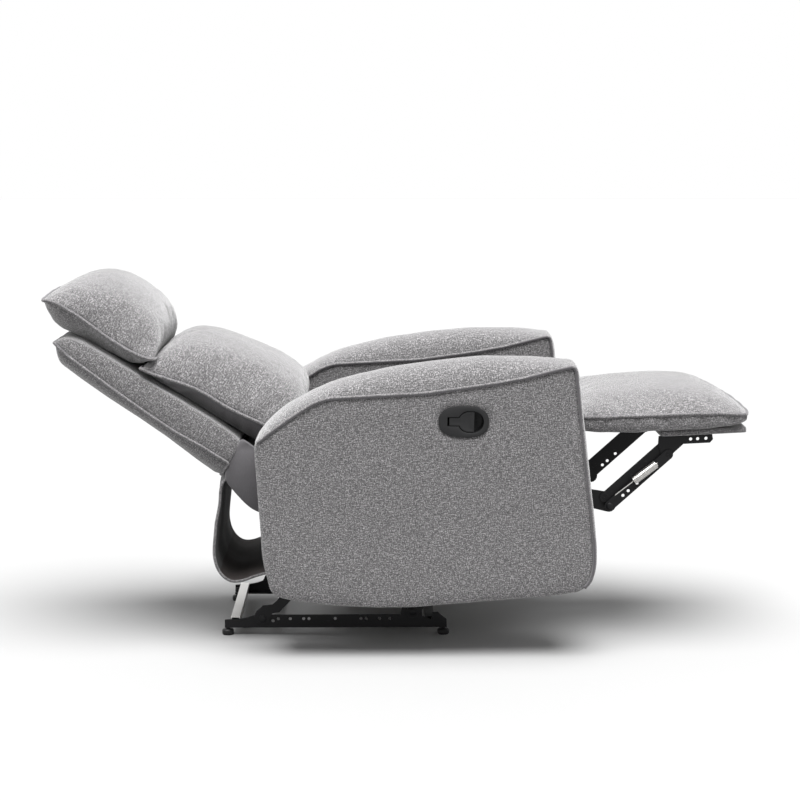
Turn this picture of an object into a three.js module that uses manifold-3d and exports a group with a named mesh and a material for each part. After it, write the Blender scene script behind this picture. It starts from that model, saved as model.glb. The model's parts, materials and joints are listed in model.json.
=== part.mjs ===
// A manual recliner armchair, shown fully reclined with its footrest out.
// Millimetres. +X is the way the sitter faces, +Y is the sitter's left, +Z is up.
import * as THREE from "three";
import { mergeVertices } from "three/addons/utils/BufferGeometryUtils.js";
import Module from "manifold-3d";

const wasm = await Module();
wasm.setup();

// ---------------------------------------------------------------- driving dimensions
const GAP = 0.3; // air between two touching pieces
const RUN = 0.6; // radial play of a pin in its link
const OVERALL_WIDTH = 834; // outside of one arm to the outside of the other
const ARM_WIDTH = 150;
const HALF_WIDTH = OVERALL_WIDTH / 2;
const ARM_INNER_Y = HALF_WIDTH - ARM_WIDTH;
const WOOD = 20; // thickness of every wooden rail
const SEAT_SIDE_CLEARANCE = 3; // seat's side rail to the arm
const BACK_CLEARANCE = 9; // back to the arm, each side
const PAD_CLEARANCE = 15; // footrest pad to the arm, each side
const BOARD_INSET = 16; // footrest board inside its pad, each side
const PLATE_CLEARANCE = 1.5; // between two steel plates that slide past each other
const BODY_TILT = 4; // degrees that the seat and arms lean back when reclined
const BACK_LEAN = 57; // degrees from upright of the reclined back
const FOOTREST_PITCH = 1.3; // degrees that the footrest droops from the seat's line

// Base: two side rails on glides, joined by two square tubes.
const RAIL_REAR = -431;
const RAIL_FRONT = 112;
const RAIL_HEIGHT = 32;
const RAIL_BOTTOM = 19;
const RAIL_WEB = 4;
const SEAT_SIDE_Y = ARM_INNER_Y - SEAT_SIDE_CLEARANCE - WOOD;
const MECHANISM_WIDTH = 56; // steel plates and springs inside each seat side rail
const RAIL_INNER_Y = SEAT_SIDE_Y - MECHANISM_WIDTH;
const FLANGE_WIDTH = 24;
const FOOT_RADIUS = 14.5;
const FOOT_PAD_HEIGHT = 14;
const FOOT_STEM_RADIUS = 5;
const FOOT_NUT_RADIUS = 7;
const CROSS_TUBE = 22;
const CROSS_TUBE_WALL = 2;
const CROSS_TUBE_REAR_X = -405;
const CROSS_TUBE_FRONT_X = 70;
const FOOT_REAR_X = CROSS_TUBE_REAR_X - CROSS_TUBE / 2 - FOOT_NUT_RADIUS - 1;
const FOOT_FRONT_X = RAIL_FRONT - FOOT_NUT_RADIUS - 1;

// Swing links that carry the seat over the base.
const REAR_PIVOT = [-338, 42];
const REAR_LINK_LENGTH = 117;
const REAR_LINK_LEAN = 45; // degrees above the floor when reclined
const REAR_LINK_SWING = 90;
const FRONT_PIVOT_SPAN = 355; // rear to front pivot on the seat plate
const FRONT_PIVOT_DROP = 79; // how far the front link's foot lies off the middle of its swing
const LINK_PLATE = 5;
const PIN_RADIUS = 6;
const OPEN_PIN_RADIUS = 5;
const OPEN_HOLE_RADIUS = 11;
const TORQUE_TUBE_RADIUS = 11;

// Seat mechanism and wooden seat frame, in the seat's level frame from the rear link's top pin.
const LINK_INNER_Y = RAIL_INNER_Y + RAIL_WEB + 1.2;
const SEAT_PLATE_Y = LINK_INNER_Y + LINK_PLATE + 1.8;
const SEAT_PLATE = 4;
const BACK_PIVOT = [32, 272];
const FOOTREST_PIVOT = [695, 333];
const SEAT_REAR = 80;
const SEAT_RAIL_BOTTOM = 238;
const SEAT_RAIL_REAR_TOP = 262;
const SEAT_RAIL_FRONT_TOP = 318;
const CUSHION_REAR_THICK = 82;
const CUSHION_FRONT_THICK = 95;
const SPRING_WIRE = 3.6;
const SPRING_COUNT = 4;

// Footrest linkage: a parallelogram whose long links and shin bars fold together.
const SHIN_LENGTH = 188;
const SHIN_RISE = 38; // degrees above the seat's line when the footrest is out
const LOWER_PIN = [226, -65]; // on the footrest bracket, from the footrest pivot
const UPPER_PIN = [216, -45];
const BAR_PLATE = 3.5;
const BAR_RADIUS = 12;
const LONG_LINK_Y = SEAT_PLATE_Y + SEAT_PLATE + PLATE_CLEARANCE;
const UPPER_SHIN_Y = LONG_LINK_Y + BAR_PLATE + PLATE_CLEARANCE;
const BRACKET_Y = UPPER_SHIN_Y + BAR_PLATE + PLATE_CLEARANCE;
const LOWER_SHIN_Y = BRACKET_Y + BAR_PLATE + PLATE_CLEARANCE;
const HOLE_RADIUS = 4;
const RIVET_RADIUS = 4.5;
const RIVET_HOLE_RADIUS = 5.1;

// Footrest pad and board, from the footrest pivot.
const PAD_LENGTH = 425;
const PAD_CROWN = 95;
const PAD_HALF_WIDTH = ARM_INNER_Y - PAD_CLEARANCE;
const BOARD_REAR = 206;
const BOARD_FRONT = PAD_LENGTH - 8;
const BOARD_THICK = 15;
const BOARD_HALF_WIDTH = PAD_HALF_WIDTH - BOARD_INSET;

// Back, in its own upright frame from the back pivot: x is towards the sitter, z runs up the back.
const BACK_HALF_WIDTH = ARM_INNER_Y - BACK_CLEARANCE;
const SHELL_WALL = 20;
const BACK_FRAME_Y = LONG_LINK_Y + BAR_PLATE + 2;
const LUMBAR_FRONT = 200;
const PILLOW_FRONT = 170;

// Handle: a flush pull lever in an oval housing.
const HANDLE_CENTRE = [427, 406];
const HANDLE_LENGTH = 116;
const HANDLE_HEIGHT = 73;
const HANDLE_DEPTH = 31;
const HANDLE_PROUD = 2;
const HANDLE_WALL = 2.5;
const HANDLE_RAKE = -5; // degrees, the oval's long axis drops towards the front
const LEVER_THICK = 5;
const CABLE_RADIUS = 3;

const PANEL_THICK = 32;
const INNER_PANEL_THICK = 26;
const ARM_BOARD_Y = HALF_WIDTH - ARM_WIDTH / 2 - WOOD / 2; // inner face of the arm's wooden board
const radians = THREE.MathUtils.degToRad;

// ---------------------------------------------------------------- materials
const material = (color, roughness, metalness = 0) =>
  new THREE.MeshStandardMaterial({ color, roughness, metalness });
const FABRIC = material(0x8a8888, 0.95);
const LINING = material(0x2a292b, 0.95);
const BLACK_STEEL = material(0x17171a, 0.45, 0.7);
const ZINC = material(0xc9c8c4, 0.35, 0.9);
const BLACK_PLASTIC = material(0x141416, 0.5);
const TIMBER = material(0xb08d5f, 0.8);

// ---------------------------------------------------------------- shape helpers
const solidOf = (geometry) => {
  const bare = geometry.clone();
  bare.deleteAttribute("normal");
  bare.deleteAttribute("uv");
  const merged = mergeVertices(bare, 1e-3);
  return new wasm.Manifold(
    new wasm.Mesh({
      numProp: 3,
      vertProperties: new Float32Array(merged.attributes.position.array),
      triVerts: new Uint32Array(merged.index.array),
    }),
  );
};

const geometryOf = (solid) => {
  const mesh = solid.getMesh();
  const geometry = new THREE.BufferGeometry();
  geometry.setAttribute("position", new THREE.BufferAttribute(mesh.vertProperties.slice(), 3));
  geometry.setIndex(new THREE.BufferAttribute(mesh.triVerts.slice(), 1));
  return geometry;
};

const join = (first, ...others) =>
  geometryOf(others.reduce((sum, next) => sum.add(solidOf(next)), solidOf(first)));
const cut = (first, ...tools) =>
  geometryOf(tools.reduce((left, tool) => left.subtract(solidOf(tool)), solidOf(first)));

const circle = ([x, z], radius, steps = 12) =>
  Array.from({ length: steps }, (_, i) => {
    const angle = (2 * Math.PI * i) / steps;
    return [x + radius * Math.cos(angle), z + radius * Math.sin(angle)];
  });

// The tight outline round a few discs, each [x, z, radius]: the shape of a stamped link.
const linkOutline = (discs, steps = 16) => {
  const points = discs.flatMap(([x, z, radius]) => circle([x, z], radius, steps));
  points.sort((a, b) => a[0] - b[0] || a[1] - b[1]);
  const turn = (o, a, b) => (a[0] - o[0]) * (b[1] - o[1]) - (a[1] - o[1]) * (b[0] - o[0]);
  const half = (list) => {
    const chain = [];
    for (const point of list) {
      while (chain.length > 1 && turn(chain.at(-2), chain.at(-1), point) <= 1e-6) chain.pop();
      chain.push(point);
    }
    return chain.slice(0, -1);
  };
  return [...half(points), ...half([...points].reverse())];
};

// A flat plate whose outline lies in the XZ plane, from y = low to y = high.
const plate = (outline, low, high, holes = []) => {
  const shape = new THREE.Shape(outline.map(([x, z]) => new THREE.Vector2(x, z)));
  for (const hole of holes)
    shape.holes.push(new THREE.Path(hole.map(([x, z]) => new THREE.Vector2(x, z))));
  const geometry = new THREE.ExtrudeGeometry(shape, { depth: high - low, bevelEnabled: false });
  return geometry.rotateX(Math.PI / 2).translate(0, high, 0);
};

const box = (x0, x1, y0, y1, z0, z1) =>
  new THREE.BoxGeometry(x1 - x0, y1 - y0, z1 - z0).translate(
    (x0 + x1) / 2,
    (y0 + y1) / 2,
    (z0 + z1) / 2,
  );

// A round pin along Y.
const pin = ([x, z], radius, low, high, steps = 14) =>
  new THREE.CylinderGeometry(radius, radius, high - low, steps).translate(x, (low + high) / 2, z);

// Closed skin over a row of rings that all have the same number of points.
const loft = (rings) => {
  const count = rings[0].length;
  const positions = rings.flat(2);
  const faces = [];
  for (let i = 0; i + 1 < rings.length; i++)
    for (let j = 0; j < count; j++) {
      const a = i * count + j;
      const b = i * count + ((j + 1) % count);
      faces.push(a, b, b + count, a, b + count, a + count);
    }
  const last = (rings.length - 1) * count;
  for (let j = 1; j + 1 < count; j++) {
    faces.push(0, j + 1, j);
    faces.push(last, last + j, last + j + 1);
  }
  const geometry = new THREE.BufferGeometry();
  geometry.setAttribute("position", new THREE.Float32BufferAttribute(positions, 3));
  geometry.setIndex(faces);
  return solidOf(geometry).volume() < 0 ? loft([...rings].reverse()) : geometry;
};

const tube = (points, radius, sides, steps) => {
  const section = new THREE.Shape(circle([0, 0], radius, sides).map(([x, y]) => new THREE.Vector2(x, y)));
  const extrudePath = new THREE.CatmullRomCurve3(points.map((p) => new THREE.Vector3(...p)));
  return new THREE.ExtrudeGeometry(section, { steps, extrudePath, bevelEnabled: false });
};

const mirrored = (side, low, high) => (side > 0 ? [low, high] : [-high, -low]);
const SIDES = [
  { name: "right", side: -1 },
  { name: "left", side: 1 },
];

const add = (group, name, geometry, finish) => {
  const mesh = new THREE.Mesh(geometry, finish);
  mesh.name = name;
  group.add(mesh);
  return mesh;
};

// Turns an XZ point nose-down by an angle in degrees.
const turned = ([x, z], degrees) => {
  const angle = radians(degrees);
  return [
    x * Math.cos(angle) + z * Math.sin(angle),
    -x * Math.sin(angle) + z * Math.cos(angle),
  ];
};
const sum = (a, b) => [a[0] + b[0], a[1] + b[1]];
const polar = (length, degrees) => [
  length * Math.cos(radians(degrees)),
  length * Math.sin(radians(degrees)),
];

// A group at an XZ pivot, leaning back by an angle in degrees.
const leaningGroup = (parent, [x, z], leanBack) => {
  const group = new THREE.Group();
  group.position.set(x, 0, z);
  group.rotation.y = -radians(leanBack);
  parent.add(group);
  return group;
};

// ---------------------------------------------------------------- swing geometry
const rearLinkTop = polar(REAR_LINK_LENGTH, REAR_LINK_LEAN);
const seatOrigin = sum(REAR_PIVOT, rearLinkTop);
const frontPinReclined = sum(seatOrigin, turned([FRONT_PIVOT_SPAN, 0], -BODY_TILT));
const seatOriginUpright = sum(REAR_PIVOT, polar(REAR_LINK_LENGTH, REAR_LINK_LEAN + REAR_LINK_SWING));
const frontPinUpright = sum(seatOriginUpright, [FRONT_PIVOT_SPAN, 0]);
// The front link's foot is on the line that bisects its pin's two end positions.
const frontTravel = [frontPinReclined[0] - frontPinUpright[0], frontPinReclined[1] - frontPinUpright[1]];
const frontTravelLength = Math.hypot(...frontTravel);
const FRONT_PIVOT = [
  (frontPinReclined[0] + frontPinUpright[0]) / 2 + (FRONT_PIVOT_DROP * frontTravel[1]) / frontTravelLength,
  (frontPinReclined[1] + frontPinUpright[1]) / 2 - (FRONT_PIVOT_DROP * frontTravel[0]) / frontTravelLength,
];
const frontLinkTop = [frontPinReclined[0] - FRONT_PIVOT[0], frontPinReclined[1] - FRONT_PIVOT[1]];

// ---------------------------------------------------------------- base
const railTop = RAIL_BOTTOM + RAIL_HEIGHT;
const railHoles = [-326, -313, -300, -271, -238, -225, -161, -98, -85, -53, -27];

function makeBase(parent) {
  const outerY = RAIL_INNER_Y + RAIL_WEB;
  const outline = [
    [RAIL_REAR, RAIL_BOTTOM],
    [RAIL_FRONT, RAIL_BOTTOM],
    [RAIL_FRONT, railTop - 12],
    [FRONT_PIVOT[0] + 62, railTop + 6],
    [FRONT_PIVOT[0] + 48, railTop + 6],
    [FRONT_PIVOT[0] + 46, railTop - 12],
    [FRONT_PIVOT[0] + 24, railTop - 4],
    [FRONT_PIVOT[0] + 22, FRONT_PIVOT[1] + 12],
    [FRONT_PIVOT[0] - 26, FRONT_PIVOT[1] + 12],
    [FRONT_PIVOT[0] - 30, railTop],
    [REAR_PIVOT[0] - 18, railTop],
    [REAR_PIVOT[0] - 36, railTop - 6],
    [RAIL_REAR + 38, railTop - 10],
    [RAIL_REAR, railTop - 12],
  ];
  const holes = railHoles.map((x, i) => circle([x, i === 1 ? 36 : 41], HOLE_RADIUS, 10));
  for (const { name, side } of SIDES) {
    const flangeHole = (x) =>
      new THREE.CylinderGeometry(FOOT_STEM_RADIUS + 1, FOOT_STEM_RADIUS + 1, 20, 10)
        .rotateX(Math.PI / 2)
        .translate(x, side * (outerY - FLANGE_WIDTH / 2), RAIL_BOTTOM);
    const web = plate(outline, ...mirrored(side, RAIL_INNER_Y, outerY), holes);
    const [low, high] = mirrored(side, outerY - FLANGE_WIDTH, outerY);
    const flange = box(RAIL_REAR, RAIL_FRONT, low, high, RAIL_BOTTOM, RAIL_BOTTOM + RAIL_WEB);
    const pins = [REAR_PIVOT, FRONT_PIVOT].map((at) =>
      pin(at, PIN_RADIUS, ...mirrored(side, RAIL_INNER_Y + 1, outerY + 1.5 + LINK_PLATE)),
    );
    const rail = cut(join(web, flange, ...pins), flangeHole(FOOT_REAR_X), flangeHole(FOOT_FRONT_X));
    add(parent, `side_rail_${name}`, rail, BLACK_STEEL);
    for (const [end, x] of [["rear", FOOT_REAR_X], ["front", FOOT_FRONT_X]])
      add(parent, `foot_${end}_${name}`, makeFoot(x, side * (outerY - FLANGE_WIDTH / 2)), BLACK_PLASTIC);
  }
  const half = CROSS_TUBE / 2;
  const square = (size) => [[-size, -size], [size, -size], [size, size], [-size, size]];
  for (const [end, x, finish] of [
    ["rear", CROSS_TUBE_REAR_X, ZINC],
    ["front", CROSS_TUBE_FRONT_X, BLACK_STEEL],
  ]) {
    const reach = RAIL_INNER_Y - GAP;
    const crossTube = plate(square(half), -reach, reach, [square(half - CROSS_TUBE_WALL)]);
    crossTube.translate(x, 0, RAIL_BOTTOM + RAIL_WEB + GAP + half);
    add(parent, `${end}_cross_tube`, crossTube, finish);
  }
}

// A threaded glide: a pad on the floor, a stem up through the rail's flange and a nut on top.
function makeFoot(x, y) {
  const nutBottom = RAIL_BOTTOM + RAIL_WEB + GAP;
  const profile = [
    [0, 0],
    [FOOT_RADIUS - 1.5, 0],
    [FOOT_RADIUS, 3],
    [FOOT_RADIUS, FOOT_PAD_HEIGHT - 3],
    [FOOT_RADIUS - 3, FOOT_PAD_HEIGHT],
    [FOOT_NUT_RADIUS, FOOT_PAD_HEIGHT + 1],
    [FOOT_STEM_RADIUS, FOOT_PAD_HEIGHT + 1],
    [FOOT_STEM_RADIUS, nutBottom],
    [FOOT_NUT_RADIUS, nutBottom],
    [FOOT_NUT_RADIUS, nutBottom + 6],
    [FOOT_STEM_RADIUS, nutBottom + 6],
    [FOOT_STEM_RADIUS, nutBottom + 10],
    [0, nutBottom + 10],
  ];
  const points = profile.map(([radius, height]) => new THREE.Vector2(radius, height));
  return new THREE.LatheGeometry(points, 16).rotateX(Math.PI / 2).translate(x, y, 0);
}

// ---------------------------------------------------------------- swing links
function makeSwingLinks(parent) {
  const lowY = LINK_INNER_Y;
  const highY = lowY + LINK_PLATE;
  const [topX, topZ] = rearLinkTop;
  // A wide heel that narrows to a strap; the heel stays behind the first rail hole.
  const rearOutline = [
    [0, -15],
    [13, -8],
    [24, 14],
    [41, 17],
    [topX + 11, topZ - 9],
    [topX + 13, topZ + 2],
    [topX + 6, topZ + 13],
    [topX - 8, topZ + 13],
    [35, 46],
    [24, 36],
    [0, 33],
    [-15, 20],
    [-22, 4],
    [-15, -9],
  ];
  const tubeAt = [topX * 0.62, topZ * 0.62];
  for (const { name, side } of SIDES) {
    const [low, high] = mirrored(side, lowY, highY);
    const rear = plate(rearOutline, low, high, [
      circle([0, 0], PIN_RADIUS + RUN),
      circle([topX, topZ], PIN_RADIUS + RUN),
    ]).translate(REAR_PIVOT[0], 0, REAR_PIVOT[1]);
    add(parent, `rear_swing_link_${name}`, rear, BLACK_STEEL);
    const frontOutline = linkOutline([
      [0, 0, 15],
      [...frontLinkTop, 17],
    ]);
    const front = plate(frontOutline, low, high, [
      circle([0, 0], PIN_RADIUS + RUN),
      circle(frontLinkTop, OPEN_HOLE_RADIUS, 14),
    ]).translate(FRONT_PIVOT[0], 0, FRONT_PIVOT[1]);
    add(parent, `front_swing_link_${name}`, front, BLACK_STEEL);
  }
  const reach = lowY - GAP;
  const torqueTube = pin(sum(REAR_PIVOT, tubeAt), TORQUE_TUBE_RADIUS, -reach, reach, 16);
  add(parent, "torque_tube", torqueTube, BLACK_STEEL);
}

// ---------------------------------------------------------------- seat
const shin = polar(SHIN_LENGTH, 180 + SHIN_RISE);
const longLinkPivot = sum(FOOTREST_PIVOT, shin);
const footrestPoint = (point) => sum(FOOTREST_PIVOT, turned(point, FOOTREST_PITCH));
const seatFront = FOOTREST_PIVOT[0] - 14;

const seatRailTop = (x) =>
  SEAT_RAIL_REAR_TOP +
  ((x - SEAT_REAR) / (seatFront - SEAT_REAR)) * (SEAT_RAIL_FRONT_TOP - SEAT_RAIL_REAR_TOP);

function makeSeat(seat) {
  makeSeatPlates(seat);
  makeSeatFrame(seat);
  makeSeatSprings(seat);
  makeSeatCushion(seat);
}

function makeSeatPlates(seat) {
  const [pivotX, pivotZ] = longLinkPivot;
  const flangeTop = SEAT_RAIL_BOTTOM - GAP;
  const outline = [
    [-18, -14],
    [14, -18],
    [FRONT_PIVOT_SPAN + 14, -18],
    [FRONT_PIVOT_SPAN + 20, 12],
    [pivotX + 14, pivotZ - 14],
    [pivotX + 14, flangeTop],
    [BACK_PIVOT[0] + 24, flangeTop],
    [BACK_PIVOT[0] + 14, BACK_PIVOT[1] + 14],
    [BACK_PIVOT[0] - 14, BACK_PIVOT[1] + 14],
    [-18, 18],
  ];
  const window = (x, z) => linkOutline([[x, z, 26], [x + 60, z, 26]], 10);
  const innerEnd = LINK_INNER_Y - 0.6;
  const outerY = SEAT_PLATE_Y + SEAT_PLATE;
  for (const { name, side } of SIDES) {
    const sheet = plate(outline, ...mirrored(side, SEAT_PLATE_Y, outerY), [window(110, 120), window(270, 120)]);
    const [low, high] = mirrored(side, SEAT_PLATE_Y, SEAT_SIDE_Y + WOOD);
    const flange = box(SEAT_REAR + 20, pivotX + 14, low, high, flangeTop - SEAT_PLATE, flangeTop);
    const rearPin = pin([0, 0], PIN_RADIUS, ...mirrored(side, innerEnd, SEAT_PLATE_Y + 1));
    const frontPin = pin(
      [FRONT_PIVOT_SPAN, 0],
      OPEN_PIN_RADIUS,
      ...mirrored(side, innerEnd, SEAT_PLATE_Y + 1),
    );
    const legPin = pin(
      longLinkPivot,
      RIVET_RADIUS,
      ...mirrored(side, SEAT_PLATE_Y + 1, LONG_LINK_Y + BAR_PLATE),
    );
    const backPin = pin(
      BACK_PIVOT,
      PIN_RADIUS,
      ...mirrored(side, SEAT_PLATE_Y + 1, LONG_LINK_Y + BAR_PLATE),
    );
    add(
      seat,
      `seat_plate_${name}`,
      join(sheet, flange, rearPin, frontPin, legPin, backPin),
      BLACK_STEEL,
    );
  }
}

function makeSeatFrame(seat) {
  const sideOutline = [
    [SEAT_REAR, SEAT_RAIL_BOTTOM],
    [seatFront, SEAT_RAIL_BOTTOM],
    [seatFront, SEAT_RAIL_FRONT_TOP],
    [SEAT_REAR, SEAT_RAIL_REAR_TOP],
  ];
  for (const { name, side } of SIDES) {
    const rail = plate(sideOutline, ...mirrored(side, SEAT_SIDE_Y, SEAT_SIDE_Y + WOOD));
    add(seat, `seat_side_rail_${name}`, rail, TIMBER);
  }
  const reach = SEAT_SIDE_Y - GAP;
  const rearTop = seatRailTop(SEAT_REAR) - 8;
  const front = box(seatFront - WOOD, seatFront, -reach, reach, SEAT_RAIL_BOTTOM, SEAT_RAIL_FRONT_TOP - 8);
  add(seat, "seat_front_rail", front, TIMBER);
  const rear = box(SEAT_REAR, SEAT_REAR + WOOD, -reach, reach, SEAT_RAIL_BOTTOM, rearTop);
  add(seat, "seat_rear_rail", rear, TIMBER);
}

// Zigzag springs from the rear rail to the front rail, held by a clip strip at each end.
function makeSeatSprings(seat) {
  const reach = SEAT_SIDE_Y - 20;
  const waves = 9;
  const height = (x) => seatRailTop(x) - 3.4;
  const x0 = SEAT_REAR + WOOD / 2;
  const x1 = seatFront - WOOD / 2;
  const strip = (x) =>
    box(x - 7, x + 7, -reach, reach, seatRailTop(x < 300 ? SEAT_REAR : seatFront) - 8 + GAP, height(x) + 2);
  const wires = Array.from({ length: SPRING_COUNT }, (_, i) => {
    const y = -reach + ((i + 0.5) * 2 * reach) / SPRING_COUNT;
    const points = Array.from({ length: waves + 1 }, (_, k) => {
      const x = x0 + ((x1 - x0) * k) / waves;
      return [x, y + (k % waves === 0 ? 0 : k % 2 ? 24 : -24), height(x)];
    });
    return tube(points, SPRING_WIRE / 2, 4, waves * 3);
  });
  add(seat, "seat_springs", join(strip(x0), strip(x1), ...wires), ZINC);
}

function makeSeatCushion(seat) {
  const frontX = FOOTREST_PIVOT[0] + 14;
  const bottom = (x) => seatRailTop(x) + 3;
  const thick = (t) => CUSHION_REAR_THICK + (CUSHION_FRONT_THICK - CUSHION_REAR_THICK) * t;
  const stations = [0, 0.04, 0.3, 0.6, 0.9, 1];
  const rings = stations.map((t) => {
    const x = SEAT_REAR + t * (frontX - SEAT_REAR);
    const end = t === 0 ? 10 : t === 1 ? 3 : 0;
    const base = Math.max(bottom(x), t > 0.95 ? FOOTREST_PIVOT[1] + 4 : 0);
    const top = bottom(x) + thick(t) - end;
    const half = ARM_INNER_Y - 4;
    return [
      [x, -half, base],
      [x, -half, top - 26],
      [x, -half * 0.86, top - 6],
      [x, 0, top],
      [x, half * 0.86, top - 6],
      [x, half, top - 26],
      [x, half, base],
    ];
  });
  add(seat, "seat_cushion", loft(rings), FABRIC);
}

// ---------------------------------------------------------------- arms
// Outer seam of the arm's side panel, from the rear bottom corner round to the front top.
const ARM_SIDE = [
  [-49, 38],
  [-30, 23],
  [19, 10],
  [103, -6],
  [193, -17],
  [272, -22],
  [385, -21],
  [612, -19],
  [669, -14],
  [695, 7],
  [707, 38],
  [711, 84],
  [708, 170],
  [700, 319],
  [692, 516],
];
// Seam between side panel and top pad, front to rear.
const ARM_SEAM = [
  [692, 516],
  [576, 496],
  [491, 487],
  [340, 477],
  [195, 480],
  [117, 481],
  [82, 471],
  [24, 439],
  [-23, 410],
  [-60, 384],
];
const ARM_REAR = [
  [-60, 289],
  [-60, 111],
];
// Crown line of the top pad, rear to front.
const ARM_CROWN = [
  [-60, 397],
  [-19, 440],
  [23, 469],
  [82, 495],
  [140, 515],
  [255, 536],
  [369, 545],
  [482, 547],
  [595, 539],
  [652, 530],
  [692, 519],
];

const heightOn = (line, x) => {
  const points = [...line].sort((a, b) => a[0] - b[0]);
  const i = Math.max(1, points.findIndex(([px]) => px >= x));
  const [[xa, za], [xb, zb]] = [points[i - 1], points[i]];
  return za + ((zb - za) * (x - xa)) / (xb - xa);
};

function makeArm(seat, name, side) {
  const sideOutline = [...ARM_SIDE, ...ARM_SEAM.slice(1), ...ARM_REAR];
  const outer = plate(sideOutline, ...mirrored(side, HALF_WIDTH - PANEL_THICK, HALF_WIDTH));
  const pocket = handleOutline(HANDLE_LENGTH / 2 + 0.6, HANDLE_HEIGHT / 2 + 0.6);
  const opening = plate(pocket, -HALF_WIDTH - 5, -HALF_WIDTH + PANEL_THICK + 5);
  add(seat, `arm_outer_panel_${name}`, side < 0 ? cut(outer, opening) : outer, FABRIC);

  const seamTop = (x) => heightOn(ARM_SEAM, x);
  const innerOutline = [
    [-54, 60],
    [300, 12],
    [640, 12],
    [672, 60],
    [668, seamTop(668) - 8],
    [576, seamTop(576) - 8],
    [340, seamTop(340) - 8],
    [117, seamTop(117) - 8],
    [-54, seamTop(-54) - 8],
  ];
  const inner = plate(innerOutline, ...mirrored(side, ARM_INNER_Y, ARM_INNER_Y + INNER_PANEL_THICK));
  add(seat, `arm_inner_panel_${name}`, inner, FABRIC);

  const boardOutline = [
    [-30, 66],
    [300, 30],
    [630, 30],
    [650, 70],
    [640, seamTop(640) - 24],
    [340, seamTop(340) - 24],
    [117, seamTop(117) - 24],
    [-30, seamTop(-30) - 24],
  ];
  const board = plate(boardOutline, ...mirrored(side, ARM_BOARD_Y, ARM_BOARD_Y + WOOD));
  const windows = [60, 230, 400].map((x) => box(x, x + 130, -HALF_WIDTH, HALF_WIDTH, 150, 300));
  add(seat, `arm_frame_${name}`, cut(board, ...windows), TIMBER);

  // Front pad between the two side panels, following the front seam.
  const frontLine = ARM_SIDE.slice(8);
  const frontOutline = [
    ...frontLine.slice(0, -1),
    [693, 505],
    [664, 500],
    [676, 120],
    [668, 40],
    [650, 14],
  ];
  const frontLow = ARM_INNER_Y + INNER_PANEL_THICK + GAP;
  const frontPad = plate(frontOutline, ...mirrored(side, frontLow, HALF_WIDTH - PANEL_THICK - GAP));
  add(seat, `arm_front_pad_${name}`, frontPad, FABRIC);
  add(seat, `arm_top_pad_${name}`, makeArmTop(side), FABRIC);
}

// A domed pad that sits on the side panels' top edge.
function makeArmTop(side) {
  const stations = [...new Set([...ARM_CROWN, ...ARM_SEAM].map(([x]) => x))].sort((a, b) => a - b);
  const rings = stations.map((x) => {
    const seam = heightOn(ARM_SEAM, x) + 2 * GAP;
    const crown = Math.max(heightOn(ARM_CROWN, x), seam + 2.5);
    const rise = crown - seam;
    const low = ARM_INNER_Y + 2;
    const high = HALF_WIDTH - 1;
    const across = [0, 0.07, 0.26, 0.5, 0.74, 0.93, 1];
    const up = [1, 0.45 * rise + 1.5, 0.86 * rise + 1, rise, 0.86 * rise + 1, 0.45 * rise + 1.5, 1];
    const dome = across.map((t, k) => [x, side * (low + t * (high - low)), seam + up[k]]);
    return [[x, side * low, seam], ...dome, [x, side * high, seam]];
  });
  return loft(rings);
}

// ---------------------------------------------------------------- handle
// Oval outline of the housing in the seat's frame, half-length by half-height.
function handleOutline(halfLength, halfHeight, steps = 24) {
  const power = 0.8; // below 1 fills out the ellipse's corners
  return Array.from({ length: steps }, (_, i) => {
    const angle = (2 * Math.PI * i) / steps;
    const [c, s] = [Math.cos(angle), Math.sin(angle)];
    const point = [
      halfLength * Math.sign(c) * Math.abs(c) ** power,
      halfHeight * Math.sign(s) * Math.abs(s) ** power,
    ];
    return sum(HANDLE_CENTRE, turned(point, -HANDLE_RAKE));
  });
}

const handlePoint = (x, z) => sum(HANDLE_CENTRE, turned([x, z], -HANDLE_RAKE));
const NECK = { rear: -38, front: -14, halfHeight: 10.5 };
const CUP = { front: 46, halfHeight: 25 };
const LEVER_AXIS_X = -29;
const LEVER_FRONT = 24;

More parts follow.
